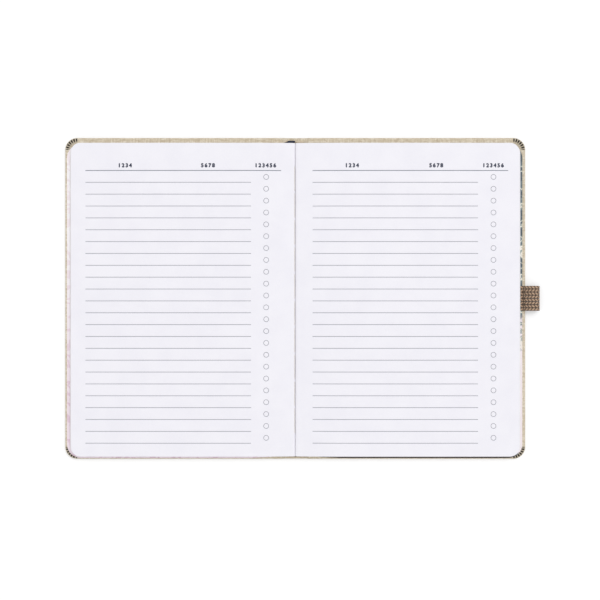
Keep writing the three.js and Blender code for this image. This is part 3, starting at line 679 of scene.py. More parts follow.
def wrapCloth(name, columns, drop):
    # Columns: place across on top and below, developed place, top height and rise of the outside
    points, flat = [], []
    for upper, lower, across, top, rise in columns:
        for y, height, developed in wrapRows(top):
            clear = min(1.0, max(0.0, (cover["half"] - spine["endClear"] - abs(y)) / spine["endRun"]))
            up = min(1.0, height / top)
            outside = (spine["drop"] + rise * clear) * (1 - up)
            end = y - drop * (1 - clear) * (1 if y > 0 else -1)
            points.append((lower + (upper - lower) * up, end, height + outside - drop * up))
            flat.append((across + (upper - across) * up, developed))
    rows = len(wrapRows(spine["top"]))
    obj = meshObject(name, points, gridFaces(len(columns), rows), looks["cloth"], flat)
    work = bmesh.new()
    work.from_mesh(obj.data)
    bmesh.ops.recalc_face_normals(work, faces=work.faces)
    low = min(work.faces, key=lambda f: (abs(f.calc_center_median().y), f.calc_center_median().z))
    if low.normal.z > 0:
        bmesh.ops.reverse_faces(work, faces=work.faces)
    work.to_mesh(obj.data)
    work.free()
    return thicken(obj, spine["skin"])


spineColumns = [(x, x, x, spine["top"], -spine["drop"])
                for x in (-spine["half"], -6, -3, 0, 3, 6, spine["half"])]
attach(wrapCloth("spineLinen", spineColumns, spine["drop"]), "spine", "cloth", "spine_cloth")
jointShares = (0.0, 0.08, 0.2, 0.3, 0.4, 0.5, 0.6, 0.7, 0.8, 0.92, 1.0)  # places across the joint's cloth
for side, name in ((-1, "front"), (1, "back")):
    near, far = spine["half"], cover["jointReach"]
    lap = spine["lapFar"] - spine["lapNear"]
    ends = near - spine["underlap"], far + spine["underlap"]
    columns = [(side * spine["lapNear"], side * ends[0], side * ends[0], spine["top"], 0.0)]
    for share in jointShares:
        rise = spine["tuck"] * math.sin(halfTurn * share) ** 2
        top = spine["top"] + (cover["top"] - spine["top"]) * ease(share)
        columns.append((side * (spine["lapNear"] + lap * (0.1 + 0.8 * share)),
                        side * (near + (far - near) * share), side * (near + spine["jointFlat"] * share),
                        top, rise))
    columns.append((side * spine["lapFar"], side * ends[1], side * (far + spine["jointFlat"]),
                    cover["top"], 0.0))
    joint = wrapCloth(f"{name}JointLinen", columns, -spine["drop"])
    attach(joint, ("spine", f"{name}_half", (side * near * mm, 0, 0), (side * far * mm, 0, 0)), "cloth")
print("spine ready")

# Silk wound round a core, with one turn to each pitch
band = {"half": 5.7, "pitch": 0.46, "strand": 0.24, "ringPoints": 36, "strandSides": 8, "crownSteps": 10}


def wrappedBandTree():
    tree, given = newTree("wrappedBand", {
        "Length": "Float", "Pitch": "Float", "Strand": "Float", "Silk": "Material"})
    base = addNode(tree, "GeometryNodeMeshToCurve", None, {"Mesh": given["Geometry"]})
    ring = addNode(tree, "GeometryNodeResampleCurve", {"mode": "COUNT"}, {
        "Curve": base, "Count": band["ringPoints"]})
    strand = addNode(tree, "GeometryNodeCurvePrimitiveCircle", {"mode": "RADIUS"}, {
        "Resolution": band["strandSides"], "Radius": given["Strand"]})
    winding = addNode(tree, "GeometryNodeCurveToMesh", None, {"Curve": ring, "Profile Curve": strand})
    turns = addNode(tree, "ShaderNodeMath", divide, {0: given["Length"], 1: given["Pitch"]})
    count = addNode(tree, "ShaderNodeMath", floorOf, {0: turns})
    gaps = addNode(tree, "ShaderNodeMath", subtract, {0: count, 1: 1.0})
    reach = addNode(tree, "ShaderNodeMath", multiply, {0: gaps, 1: given["Pitch"]})
    first = addNode(tree, "ShaderNodeMath", multiply, {0: reach, 1: -0.5})
    start = addNode(tree, "ShaderNodeCombineXYZ", None, {0: first})
    step = addNode(tree, "ShaderNodeCombineXYZ", None, {0: given["Pitch"]})
    line = addNode(tree, "GeometryNodeMeshLine", {"mode": "OFFSET"}, {
        "Count": count, "Start Location": start, "Offset": step})
    placed = addNode(tree, "GeometryNodeInstanceOnPoints", None, {"Points": line, "Instance": winding})
    endTree(tree, placed, given["Silk"])
    return tree


bandTree = wrappedBandTree()
for node, label in (("head_band", "headBandSilk"), ("tail_band", "tailBandSilk")):
    low, high = boxOf(node)
    inset = band["strand"]
    radius = (high.y - low.y) / 2 - inset
    middle = (high.y + low.y) / 2
    outline = [(0, low.y + inset, low.z + inset), (0, high.y - inset, low.z + inset)]
    for i in range(band["crownSteps"] + 1):
        angle = halfTurn * i / band["crownSteps"]
        outline.append((0, middle + radius * math.cos(angle),
                        high.z - inset - radius + radius * math.sin(angle)))
    silk = pathObject(label, outline, True)
    runTree(silk, bandTree, {"Length": 2 * band["half"] * mm, "Pitch": band["pitch"] * mm,
                             "Strand": band["strand"] * mm, "Silk": looks["band"]})
    attach(silk, "spine", "band", node)
print("bands ready")

# Text block

book = {"base": 3.4, "top": 8.59, "gutterDip": 1.2, "gutterRamp": 32, "edgeDip": 0.3, "edgeRamp": 60,
        "topReach": boxOf("right_leaf")[1].x, "slant": 1.5, "arcReach": 2.35, "arcHeight": 5.39,
        "arcRadius": 2.3, "arcLift": 0.5, "wallEnd": 4.5, "head": 103.9, "tail": -105.7, "corner": 6.3,
        "leaf": 0.13, "sheet": 0.112, "jitter": 0.11, "sheets": 5, "seed": 11, "nextLeaf": 0.2,
        "nextLeaves": 4, "nearStep": 0.45, "nearCount": 15, "runs": ((10, 2.2, 14), (42, 6, 17)),
        "wallSteps": 3, "arcSteps": 12, "arcEase": 1.3, "cornerSteps": 8, "foldSteps": 8, "foldInset": 0.62,
        "armStart": 0.6, "armNext": 1.2, "skinGap": 0.01, "foreStart": 60, "foreRun": 70,
        "sections": (4.11, 5.47, 6.83), "unevenReach": 0.06, "unevenAlong": 0.05}


def dip(reach):
    # How far the page sinks towards the gutter and at the fore-edge
    share = min(1.0, max(0.0, (reach - book["arcReach"]) / book["gutterRamp"]))
    edge = ease((reach - (book["topReach"] - book["edgeRamp"])) / book["edgeRamp"])
    return book["gutterDip"] * (1 - share) ** 2 + book["edgeDip"] * edge


def layerHeight(nominal, reach):
    # Leaves further down follow the dip of the top one less and less
    return nominal - (nominal - book["base"]) / (book["top"] - book["base"]) * dip(reach)


def roundEnd(places, far, radius):
    # Adds close places where the corner of a sheet is round
    kept = [p for p in places if p < far - radius - 1]
    steps = book["cornerSteps"]
    return kept + [far - radius + radius * math.sin(halfTurn / 2 * i / steps) for i in range(steps + 1)]


def flatStations(far):
    # Places across a page: close together by the gutter, wider apart further out
    places = [book["arcReach"] + book["nearStep"] * i for i in range(1, book["nearCount"] + 1)]
    places += [start + step * i for start, step, count in book["runs"] for i in range(count)]
    return roundEnd(places, far, book["corner"])


def cornerInset(reach, far, radius):
    # How far a sheet's edge draws in at its round corner
    along = max(0.0, reach - (far - radius))
    return radius - math.sqrt(max(0.0, radius ** 2 - along ** 2))


def creasePoint(radius, crown, angle):
    # The page turns down into the gutter along this curve
    return (book["arcReach"] - radius * math.cos(angle),
            book["arcHeight"] + crown * math.sin(angle) ** book["arcLift"])


def pagePath(depth, far):
    # Reach, height and developed length of a page surface, depth below the top one
    wall = book["arcReach"] - book["arcRadius"] + depth
    crown = layerHeight(book["top"] - depth, book["arcReach"]) - book["arcHeight"]
    wallHeight = book["arcHeight"] - book["wallEnd"]
    path = [(wall, book["wallEnd"] + wallHeight * i / book["wallSteps"]) for i in range(book["wallSteps"])]
    for i in range(book["arcSteps"] + 1):
        angle = halfTurn / 2 * (i / book["arcSteps"]) ** book["arcEase"]
        path.append(creasePoint(book["arcRadius"] - depth, crown, angle))
    path += [(r, layerHeight(book["top"] - depth, r)) for r in flatStations(far)]
    length, lengths = 0.0, []
    for i, place in enumerate(path):
        length += math.dist(place, path[i - 1]) if i else 0.0
        lengths.append(length)
    return [(r, z, s) for (r, z), s in zip(path, lengths)]


def sheetParts(side, depth, thickness, far, shift, columns):
    # Points, faces and developed places of one leaf of the open pages
    points, flat = [], []
    for surface in (depth, depth + thickness):
        for reach, height, length in pagePath(surface, far):
            inset = cornerInset(reach, far, book["corner"])
            low, high = book["tail"] + inset + shift, book["head"] - inset + shift
            for j in range(columns):
                y = low + (high - low) * j / (columns - 1)
                points.append((side * reach, y, height))
                flat.append((side * length, y))
    rows = len(points) // columns // 2
    return points, slabFaces(rows, columns), flat


def sheetObject(name, side, depths, fars, shifts, columns):
    # Leaves that lie on each other, in one mesh
    points, faces, flat = [], [], []
    for depth, far, shift in zip(depths, fars, shifts):
        more, moreFaces, moreFlat = sheetParts(side, depth, book["sheet"], far, shift, columns)
        faces += [tuple(i + len(points) for i in face) for face in moreFaces]
        points += more
        flat += moreFlat
    return keepEdges(closeOut(meshObject(name, points, faces, looks["paper"], flat)))


def foldedSectionTree():
    tree, given = newTree("foldedSection", {
        "Sheets": "Int", "Pitch": "Float", "Thickness": "Float", "Middle": "Float", "Base": "Float",
        "Span": "Float", "Slant": "Float", "Side": "Float", "Jitter": "Float", "Seed": "Int",
        "Paper": "Material"})
    facts = {name: addNode(tree, "GeometryNodeInputNamedAttribute", {"data_type": "FLOAT"}, {"Name": name})
             for name in ("across", "bulge", "skin", "dip", "far", "sheet")}
    form = addNode(tree, "GeometryNodeGeometryToInstance", None, {0: given["Geometry"]})
    copies = addNode(tree, "GeometryNodeDuplicateElements", {"domain": "INSTANCE"}, {
        "Geometry": form, "Amount": given["Sheets"]}).outputs
    marked = addNode(tree, "GeometryNodeStoreNamedAttribute", {"data_type": "FLOAT", "domain": "INSTANCE"}, {
        "Geometry": copies[0], "Name": "sheet", "Value": copies[1]})
    loose = addNode(tree, "GeometryNodeRealizeInstances", None, {0: marked})

    # Height: sheets lie round the middle of the section, and the whole follows the dip of the page
    halfThick = addNode(tree, "ShaderNodeMath", multiply, {0: given["Thickness"], 1: 0.5})
    skin = addNode(tree, "ShaderNodeMath", multiply, {0: facts["skin"], 1: halfThick})
    order = addNode(tree, "ShaderNodeMath", add, {0: facts["sheet"], 1: 0.5})
    layer = addNode(tree, "ShaderNodeMath", multiply, {0: order, 1: given["Pitch"]})
    fold = addNode(tree, "ShaderNodeMath", add, {0: layer, 1: skin})
    aside = addNode(tree, "ShaderNodeMath", multiply, {0: facts["across"], 1: fold})
    nominal = addNode(tree, "ShaderNodeMath", add, {0: given["Middle"], 1: aside})
    aboveBase = addNode(tree, "ShaderNodeMath", subtract, {0: nominal, 1: given["Base"]})
    share = addNode(tree, "ShaderNodeMath", divide, {0: aboveBase, 1: given["Span"]})
    sunk = addNode(tree, "ShaderNodeMath", multiply, {0: share, 1: facts["dip"]})
    height = addNode(tree, "ShaderNodeMath", subtract, {0: nominal, 1: sunk})

    # Each leaf of a sheet, to either side of its fold, is a little out of line across and along
    leafSide = addNode(tree, "ShaderNodeMath", {"operation": "SIGN"}, {0: facts["across"]})
    doubled = addNode(tree, "ShaderNodeMath", multiply, {0: facts["sheet"], 1: 2.0})
    identity = addNode(tree, "ShaderNodeMath", add, {0: doubled, 1: leafSide})
    nextSeed = addNode(tree, "ShaderNodeMath", add, {0: given["Seed"], 1: 7.0})
    jitters = []
    for seed in (given["Seed"], nextSeed):
        drawn = addNode(tree, "FunctionNodeRandomValue", {"data_type": "FLOAT"}, {
            "ID": identity, "Seed": seed})
        centred = addNode(tree, "ShaderNodeMath", subtract, {0: drawn, 1: 0.5})
        jitters.append(addNode(tree, "ShaderNodeMath", multiply, {0: centred, 1: given["Jitter"]}))

    # Reach: the fore-edge slants, and the fold is round
    place = addNode(tree, "ShaderNodeSeparateXYZ", None, {
        0: addNode(tree, "GeometryNodeInputPosition")}).outputs
    lower = addNode(tree, "ShaderNodeMath", subtract, {0: 1.0, 1: share})
    lean = addNode(tree, "ShaderNodeMath", multiply, {0: lower, 1: given["Slant"]})
    growth = addNode(tree, "ShaderNodeMath", add, {0: lean, 1: jitters[0]})
    grown = addNode(tree, "ShaderNodeMath", multiply, {0: facts["far"], 1: growth})
    flatReach = addNode(tree, "ShaderNodeMath", add, {0: place[0], 1: grown})
    bulged = addNode(tree, "ShaderNodeMath", multiply, {0: facts["bulge"], 1: fold})
    reach = addNode(tree, "ShaderNodeMath", subtract, {0: flatReach, 1: bulged})
    across = addNode(tree, "ShaderNodeMath", multiply, {0: reach, 1: given["Side"]})
    along = addNode(tree, "ShaderNodeMath", add, {0: place[1], 1: jitters[1]})
    moved = addNode(tree, "ShaderNodeCombineXYZ", None, {0: across, 1: along, 2: height})
    shaped = addNode(tree, "GeometryNodeSetPosition", None, {"Geometry": loose, "Position": moved})
    endTree(tree, shaped, given["Paper"])
    return tree


def foldForm(name, foldReach):
    # One folded sheet, flattened: both arms and the round fold between them, inside and outside skins
    far = book["topReach"]
    arm = [foldReach + book["armStart"]]
    arm += [r for r in flatStations(far) if r > foldReach + book["armNext"]]
    path = [(r, -1.0, 0.0) for r in arm[::-1]]
    angles = [halfTurn * i / book["foldSteps"] for i in range(book["foldSteps"] + 1)]
    path += [(foldReach, -math.cos(angle), math.sin(angle)) for angle in angles]
    path += [(r, 1.0, 0.0) for r in arm]
    columns = 2
    points, facts = [], []
    for skin in (-1.0, 1.0):
        for reach, across, bulge in path:
            inset = cornerInset(reach, far, book["corner"])
            for y in (book["tail"] + inset, book["head"] - inset):
                points.append((reach, y, across + book["skinGap"] * skin))
                outwards = ease((reach - book["foreStart"]) / book["foreRun"])
                facts.append((across, bulge, skin, dip(reach) * mm, outwards))
    obj = meshObject(name, points, slabFaces(len(path), columns), looks["paper"])
    for index, label in enumerate(("across", "bulge", "skin", "dip", "far")):
        layer = obj.data.attributes.new(label, "FLOAT", "POINT")
        layer.data.foreach_set("value", [fact[index] for fact in facts])
    return obj


sectionTree = foldedSectionTree()
for side, name, page in ((-1, "front", "left"), (1, "back", "right")):
    body = f"{name}_half"
    for index, middle in enumerate(book["sections"]):  # middle height of each section
        node = f"{page}_section_{index + 1}"
        low, high = boxOf(node)
        foldReach = min(abs(low.x), abs(high.x)) + book["foldInset"]
        section = foldForm(f"{page}Section{index + 1}", foldReach)
        runTree(section, sectionTree, {
            "Sheets": book["sheets"], "Pitch": book["leaf"] * mm, "Thickness": book["sheet"] * mm,
            "Middle": middle * mm, "Base": book["base"] * mm, "Span": (book["top"] - book["base"]) * mm,
            "Slant": book["slant"] * mm, "Side": float(side), "Jitter": book["jitter"] * mm,
            "Seed": book["seed"] + index + 5 * side, "Paper": looks["edges"]})
        attach(section, body, "paper", node)
    count = range(book["nextLeaves"])
    depths = [book["nextLeaf"] + book["leaf"] * i for i in count]
    # The leaves end slightly unevenly
    fars = [book["topReach"] + book["unevenReach"] * ((i * 3) % 4 - 1) for i in count]
    shifts = [book["unevenAlong"] * ((i * 5) % 3 - 1) for i in count]
    centre = sheetObject(f"{page}CentreLeaves", side, depths, fars, shifts, 3)
    attach(centre, body, "paper", f"{page}_centre_section")
    leaf = sheetObject(f"{page}TopLeaf", side, [0.0], [book["topReach"]], [0.0], 5)
    attach(leaf, (body, f"{page}_leaf", (side * book["arcReach"] * mm, 0, 0), (side * 9 * mm, 0, 0)), "paper",
           f"{page}_leaf")

endpaper = {"frontMargin": 1.3, "backMargin": 2.1, "tailMargin": 0.65, "corner": 9.5, "foldReach": 2.18,
            "foldHeight": 3.2, "outer": 0.2, "inner": 0.05, "start": 6, "step": 12, "count": 12,
            "tailStart": 10, "tailRun": 14, "foldSteps": 8}


def endpaperSheet(name, side):
    # One folded sheet: pasted on the board, folded at the joint and free as the flyleaf
    down, free = cover["reach"] - endpaper[f"{name}Margin"], boxOf("right_section_1")[1].x
    places = [endpaper["start"] + endpaper["step"] * i for i in range(endpaper["count"])]
    middle, outer, inner = endpaper["foldHeight"], endpaper["outer"], endpaper["inner"]
    # Both sheets reach down at the tail to near the cover's edge; on the back sheet that strip shows the
    # painted shadow
    tailReach = book["tail"] + cover["half"] - endpaper["tailMargin"]
    rows = [(r, middle - outer, r, middle - inner, cornerInset(r, down, endpaper["corner"]),
             tailReach * ease((r - endpaper["tailStart"]) / endpaper["tailRun"]))
            for r in roundEnd(places, down, endpaper["corner"])[::-1]]
    for i in range(endpaper["foldSteps"] + 1):
        angle = halfTurn * i / endpaper["foldSteps"]
        across, up = math.sin(angle), -math.cos(angle)
        rows.append((endpaper["foldReach"] - outer * across, middle + outer * up,
                     endpaper["foldReach"] - inner * across, middle + inner * up, 0.0, 0.0))
    rows += [(r, middle + outer, r, middle + inner, cornerInset(r, free, book["corner"]), 0.0)
             for r in roundEnd(places, free, book["corner"])]
    points = []
    for start in (0, 2):
        for row in rows:
            low, high = book["tail"] - row[5] + row[4], book["head"] - row[4]
            points += [(side * row[start], y, row[start + 1]) for y in (low, (low + high) / 2, high)]
    sheet = meshObject(f"{name}EndpaperSheet", points, slabFaces(len(rows), 3), looks["marble"])
    return keepEdges(closeOut(sheet))


for side, name in ((-1, "front"), (1, "back")):
    attach(endpaperSheet(name, side), f"{name}_half", "endpaper", f"{name}_endpaper")
print("text block ready")

# Ruling on the pages

ruling = {"rows": 23, "pitch": 7.92, "first": 77.5, "header": 85.4, "heading": 88.7, "line": 0.37,
          "headerLine": 0.48, "ring": 1.66, "ringLine": 0.17, "ringRise": 3.6, "ink": 0.014, "lift": 0.012,
          "numeral": 3.5, "spacing": 1.42, "stroke": 0.24, "bends": 48, "ringPoints": 32, "strokePoints": 40,
          "rayStart": 50, "rayReach": 200}
ruledSides = {-1: {"near": 29.5, "far": 140.1, "headNear": 9.5, "headFar": 140.1, "rings": 19.4,
                   "headings": (113.7, 58.3, 19.9)},
              1: {"near": 11.6, "far": 122.1, "headNear": 11.6, "headFar": 142.2, "rings": 132.4,
                  "headings": (37.9, 94.1, 132.2)}}


def ruledPageTree():
    tree, given = newTree("ruledPage", {
        "Page": "Object", "Side": "Float", "Face": "Float", "Rows": "Int", "Pitch": "Float", "First": "Float",
        "Near": "Float", "Far": "Float", "Header": "Float", "Header Near": "Float", "Header Far": "Float",
        "Rings": "Float", "Ring Radius": "Float", "Ring Line": "Float", "Ring Rise": "Float",
        "Line": "Float", "Header Line": "Float", "Ink Depth": "Float", "Lift": "Float", "Ink": "Material",
        "Rule Ink": "Material", "Heading Ink": "Material", "Heading": "Float", "Numeral": "Float",
        "Spacing": "Float", "Stroke": "Float",
        "First Column": "Float", "Second Column": "Float", "Third Column": "Float"})

    def strip(near, far, width):
        # A bar of ink, and how far across its middle lies
        reach = addNode(tree, "ShaderNodeMath", subtract, {0: far, 1: near})
        size = addNode(tree, "ShaderNodeCombineXYZ", None, {0: reach, 1: width, 2: given["Ink Depth"]})
        bar = addNode(tree, "GeometryNodeMeshCube", None, {
            "Size": size, "Vertices X": ruling["bends"], "Vertices Y": 2, "Vertices Z": 2})
        both = addNode(tree, "ShaderNodeMath", add, {0: near, 1: far})
        middle = addNode(tree, "ShaderNodeMath", multiply, {0: both, 1: 0.5})
        return bar, addNode(tree, "ShaderNodeMath", multiply, {0: middle, 1: given["Side"]})

    def repeat(geometry, across, first):
        # A copy for each row, down the page
        start = addNode(tree, "ShaderNodeCombineXYZ", None, {0: across, 1: first})
        down = addNode(tree, "ShaderNodeMath", multiply, {0: given["Pitch"], 1: -1.0})
        step = addNode(tree, "ShaderNodeCombineXYZ", None, {1: down})
        line = addNode(tree, "GeometryNodeMeshLine", {"mode": "OFFSET"}, {
            "Count": given["Rows"], "Start Location": start, "Offset": step})
        return addNode(tree, "GeometryNodeInstanceOnPoints", None, {"Points": line, "Instance": geometry})

    def seat(geometry, look):
        # Each point of the ink goes to the page, straight below or, on the back of a leaf, above it
        solid = addNode(tree, "GeometryNodeRealizeInstances", None, {0: geometry})
        parts = addNode(tree, "ShaderNodeSeparateXYZ", None, {
            0: addNode(tree, "GeometryNodeInputPosition")}).outputs
        away = addNode(tree, "ShaderNodeMath", multiply, {
            0: given["Face"], 1: ruling["rayStart"] * mm})
        source = addNode(tree, "ShaderNodeCombineXYZ", None, {0: parts[0], 1: parts[1], 2: away})
        back = addNode(tree, "ShaderNodeMath", multiply, {0: given["Face"], 1: -1.0})
        aim = addNode(tree, "ShaderNodeCombineXYZ", None, {2: back})
        page = addNode(tree, "GeometryNodeObjectInfo", {"transform_space": "ORIGINAL"}, {
            "Object": given["Page"]})
        hit = addNode(tree, "GeometryNodeRaycast", None, {
            "Target Geometry": page.outputs["Geometry"], "Source Position": source, "Ray Direction": aim,
            "Ray Length": ruling["rayReach"] * mm}).outputs["Hit Position"]
        found = addNode(tree, "ShaderNodeSeparateXYZ", None, {0: hit}).outputs[2]
        lift = addNode(tree, "ShaderNodeMath", multiply, {0: given["Lift"], 1: given["Face"]})
        laid = addNode(tree, "ShaderNodeMath", add, {0: found, 1: parts[2]})
        height = addNode(tree, "ShaderNodeMath", add, {0: laid, 1: lift})
        moved = addNode(tree, "ShaderNodeCombineXYZ", None, {0: parts[0], 1: parts[1], 2: height})
        seated = addNode(tree, "GeometryNodeSetPosition", None, {"Geometry": solid, "Position": moved})
        return addNode(tree, "GeometryNodeSetMaterial", None, {"Geometry": seated, "Material": look})

    bar, middle = strip(given["Near"], given["Far"], given["Line"])
    rows = repeat(bar, middle, given["First"])
    header, headMiddle = strip(given["Header Near"], given["Header Far"], given["Header Line"])
    headPlace = addNode(tree, "ShaderNodeCombineXYZ", None, {0: headMiddle, 1: given["Header"]})
    header = addNode(tree, "GeometryNodeTransform", None, {"Geometry": header, "Translation": headPlace})

    # The profile of a drawn line, and the scale that flattens it to the depth of the ink
    halfInk = addNode(tree, "ShaderNodeMath", multiply, {0: given["Ink Depth"], 1: 0.5})
    profiles, flatScales = {}, {}
    for name in ("Ring Line", "Stroke"):
        profiles[name] = addNode(tree, "GeometryNodeCurvePrimitiveCircle", {"mode": "RADIUS"}, {
            "Resolution": 4, "Radius": given[name]})
        thin = addNode(tree, "ShaderNodeMath", divide, {0: halfInk, 1: given[name]})
        flatScales[name] = addNode(tree, "ShaderNodeCombineXYZ", None, {0: 1.0, 1: 1.0, 2: thin})
    circle = addNode(tree, "GeometryNodeCurvePrimitiveCircle", {"mode": "RADIUS"}, {
        "Resolution": ruling["ringPoints"], "Radius": given["Ring Radius"]})
    ring = addNode(tree, "GeometryNodeCurveToMesh", None, {
        "Curve": circle, "Profile Curve": profiles["Ring Line"]})
    ring = addNode(tree, "GeometryNodeTransform", None, {"Geometry": ring, "Scale": flatScales["Ring Line"]})
    ringAcross = addNode(tree, "ShaderNodeMath", multiply, {0: given["Rings"], 1: given["Side"]})
    ringFirst = addNode(tree, "ShaderNodeMath", add, {0: given["First"], 1: given["Ring Rise"]})
    rings = repeat(ring, ringAcross, ringFirst)
    ruled = addNode(tree, "GeometryNodeJoinGeometry", None, {0: [rows, rings]})

    # Numerals at the head of each column: filled shapes with a stroke round them, which makes them bold
    mirror = addNode(tree, "ShaderNodeCombineXYZ", None, {0: given["Face"], 1: 1.0, 2: 1.0})
    numerals = []
    for text, column in (("1234", "First Column"), ("5678", "Second Column"), ("123456", "Third Column")):
        letters = addNode(tree, "GeometryNodeStringToCurves", {"align_x": "CENTER", "align_y": "MIDDLE"}, {
            "String": text, "Size": given["Numeral"], "Character Spacing": given["Spacing"]})
        glyph = addNode(tree, "GeometryNodeRealizeInstances", None, {0: letters})
        face = addNode(tree, "GeometryNodeFillCurve", None, {0: glyph})
        raised = addNode(tree, "GeometryNodeExtrudeMesh", {"mode": "FACES"}, {
            "Mesh": face, "Offset Scale": given["Ink Depth"], "Individual": False})
        back = addNode(tree, "GeometryNodeFlipFaces", None, {0: face})
        both = addNode(tree, "GeometryNodeJoinGeometry", None, {0: [raised, back]})
        solid = addNode(tree, "GeometryNodeMergeByDistance", None, {"Geometry": both, "Distance": 1e-6})
        even = addNode(tree, "GeometryNodeResampleCurve", {"mode": "COUNT"}, {
            "Curve": glyph, "Count": ruling["strokePoints"]})
        bold = addNode(tree, "GeometryNodeCurveToMesh", None, {
            "Curve": even, "Profile Curve": profiles["Stroke"]})
        bold = addNode(tree, "GeometryNodeTransform", None, {"Geometry": bold, "Scale": flatScales["Stroke"]})
        across = addNode(tree, "ShaderNodeMath", multiply, {0: given[column], 1: given["Side"]})
        where = addNode(tree, "ShaderNodeCombineXYZ", None, {0: across, 1: given["Heading"]})
        numerals += [addNode(tree, "GeometryNodeTransform", None, {
            "Geometry": shape, "Translation": where, "Scale": mirror}) for shape in (solid, bold)]
    headings = addNode(tree, "GeometryNodeJoinGeometry", None, {0: numerals})
    done = addNode(tree, "GeometryNodeJoinGeometry", None, {0: [
        seat(ruled, given["Ink"]), seat(header, given["Rule Ink"]), seat(headings, given["Heading Ink"])]})
    whole = addNode(tree, "GeometryNodeRealizeInstances", None, {0: done})
    addNode(tree, "NodeGroupOutput", None, {0: whole})
    return tree


ruledTree = ruledPageTree()


def rulePage(name, page, side, face, body):
    # Face is 1 for the upper side of a page and -1 for its back, which has the other page's layout
    layout = ruledSides[side * face]
    reaches = {"Near": layout["near"], "Far": layout["far"], "Header Near": layout["headNear"],
               "Header Far": layout["headFar"], "Rings": layout["rings"]}
    columns = layout["headings"]
    values = {label: value * mm for label, value in reaches.items()}
    values.update({
        "Page": page, "Side": float(side), "Face": float(face), "Rows": ruling["rows"],
        "Pitch": ruling["pitch"] * mm, "First": ruling["first"] * mm, "Header": ruling["header"] * mm,
        "Ring Radius": ruling["ring"] * mm, "Ring Line": ruling["ringLine"] * mm,
        "Ring Rise": ruling["ringRise"] * mm, "Line": ruling["line"] * mm,
        "Header Line": ruling["headerLine"] * mm, "Ink Depth": ruling["ink"] * mm,
        "Lift": ruling["lift"] * mm, "Ink": looks["ink"], "Rule Ink": looks["rule"],
        "Heading Ink": looks["heading"], "Spacing": ruling["spacing"], "Stroke": ruling["stroke"] * mm,
        "Heading": ruling["heading"] * mm, "Numeral": ruling["numeral"] * mm,
        "First Column": columns[0] * mm, "Second Column": columns[1] * mm, "Third Column": columns[2] * mm})
    ink = runTree(pathObject(name, [(0, 0, 0)]), ruledTree, values)
    ink.data.polygons.foreach_set("use_smooth", [False] * len(ink.data.polygons))
    return attach(ink, body, "paper")


for side, name, page in ((-1, "front", "left"), (1, "back", "right")):
    leaf = bpy.data.objects[f"{page}TopLeaf"]
    rulePage(f"{page}PageRuling", leaf, side, 1, f"{page}_leaf")
    rulePage(f"{page}LeafBackRuling", leaf, side, -1, f"{page}_leaf")
    rulePage(f"{page}NextPageRuling", bpy.data.objects[f"{page}CentreLeaves"], side, 1, f"{name}_half")
print("ruling ready")

# Sewing

thread = {"angle": 35, "gap": 0.1, "holes": 11, "pitch": 18, "middle": -0.9, "dip": 0.5, "hole": 1.3,
          "ply": 0.085, "twist": 1.1, "step": 0.14, "sides": 7, "pathStep": 0.3}


def twistedCordTree():
    tree, given = newTree("twistedCord", {
        "Ply": "Float", "Twist": "Float", "Step": "Float", "Thread": "Material"})
    line = addNode(tree, "GeometryNodeMeshToCurve", None, {"Mesh": given["Geometry"]})
    path = addNode(tree, "GeometryNodeResampleCurve", {"mode": "LENGTH"}, {
        "Curve": line, "Length": given["Step"]})
    along = addNode(tree, "GeometryNodeSplineParameter").outputs["Length"]
    turns = addNode(tree, "ShaderNodeMath", multiply, {0: along, 1: 2 * halfTurn})
    angle = addNode(tree, "ShaderNodeMath", divide, {0: turns, 1: given["Twist"]})
    profile = addNode(tree, "GeometryNodeCurvePrimitiveCircle", {"mode": "RADIUS"}, {
        "Resolution": thread["sides"], "Radius": given["Ply"]})
    plies = []
    for start in (0.0, halfTurn):
        turned = addNode(tree, "ShaderNodeMath", add, {0: angle, 1: start})
        swings = [addNode(tree, "ShaderNodeMath", wave, {0: turned}) for wave in (cosine, sine)]
        shifts = [addNode(tree, "ShaderNodeMath", multiply, {0: swing, 1: given["Ply"]}) for swing in swings]
        offset = addNode(tree, "ShaderNodeCombineXYZ", None, {0: shifts[0], 2: shifts[1]})
        ply = addNode(tree, "GeometryNodeSetPosition", None, {"Geometry": path, "Offset": offset})
        plies.append(addNode(tree, "GeometryNodeCurveToMesh", None, {
            "Curve": ply, "Profile Curve": profile, "Fill Caps": True}))
    both = addNode(tree, "GeometryNodeJoinGeometry", None, {0: plies})
    endTree(tree, both, given["Thread"])
    return tree


def threadPath():
    # Along the gutter on the left, with a dip into each hole
    first = (thread["holes"] - 1) / 2
    holes = [(i - first) * thread["pitch"] + thread["middle"] for i in range(thread["holes"])]
    low, high = boxOf("sewing_thread")
    angle = math.radians(thread["angle"])
    crown = layerHeight(book["top"], book["arcReach"]) - book["arcHeight"]
    count = round((high.y - low.y) / thread["pathStep"])
    points = []
    for i in range(count + 1):
        y = low.y + (high.y - low.y) * i / count
        nearest = min(abs(y - hole) for hole in holes)
        depth = thread["dip"] * (1 - ease(nearest / thread["hole"]))
        out = thread["gap"] - depth
        reach, height = creasePoint(book["arcRadius"] + out, crown + out, angle)
        points.append((-reach, y, height))
    return points


stitches = runTree(pathObject("sewingStitches", threadPath()), twistedCordTree(), {
    "Ply": thread["ply"] * mm, "Twist": thread["twist"] * mm, "Step": thread["step"] * mm,
    "Thread": looks["thread"]})
attach(stitches, "front_half", "thread", "sewing_thread")

# Ribbon marker

ribbon = {"near": 3.2, "width": 7.0, "low": 7.58, "thickness": 0.2, "tail": -91.7, "columns": 9, "edge": 0.03,
          "shift": 3.1, "shiftStart": 103.2, "shiftRun": 1.2, "steps": 40,
          "overHead": ((104.2, 0.05, 0.95), (104.5, 0.12, 0.88), (104.8, 0.25, 0.8), (105.1, 0.45, 0.72),
                       (105.4, 0.8, 0.66), (105.65, 1.3, 0.62), (105.85, 1.9, 0.6), (105.95, 2.5, 0.58),
                       (106.0, 3.1, 0.58))}


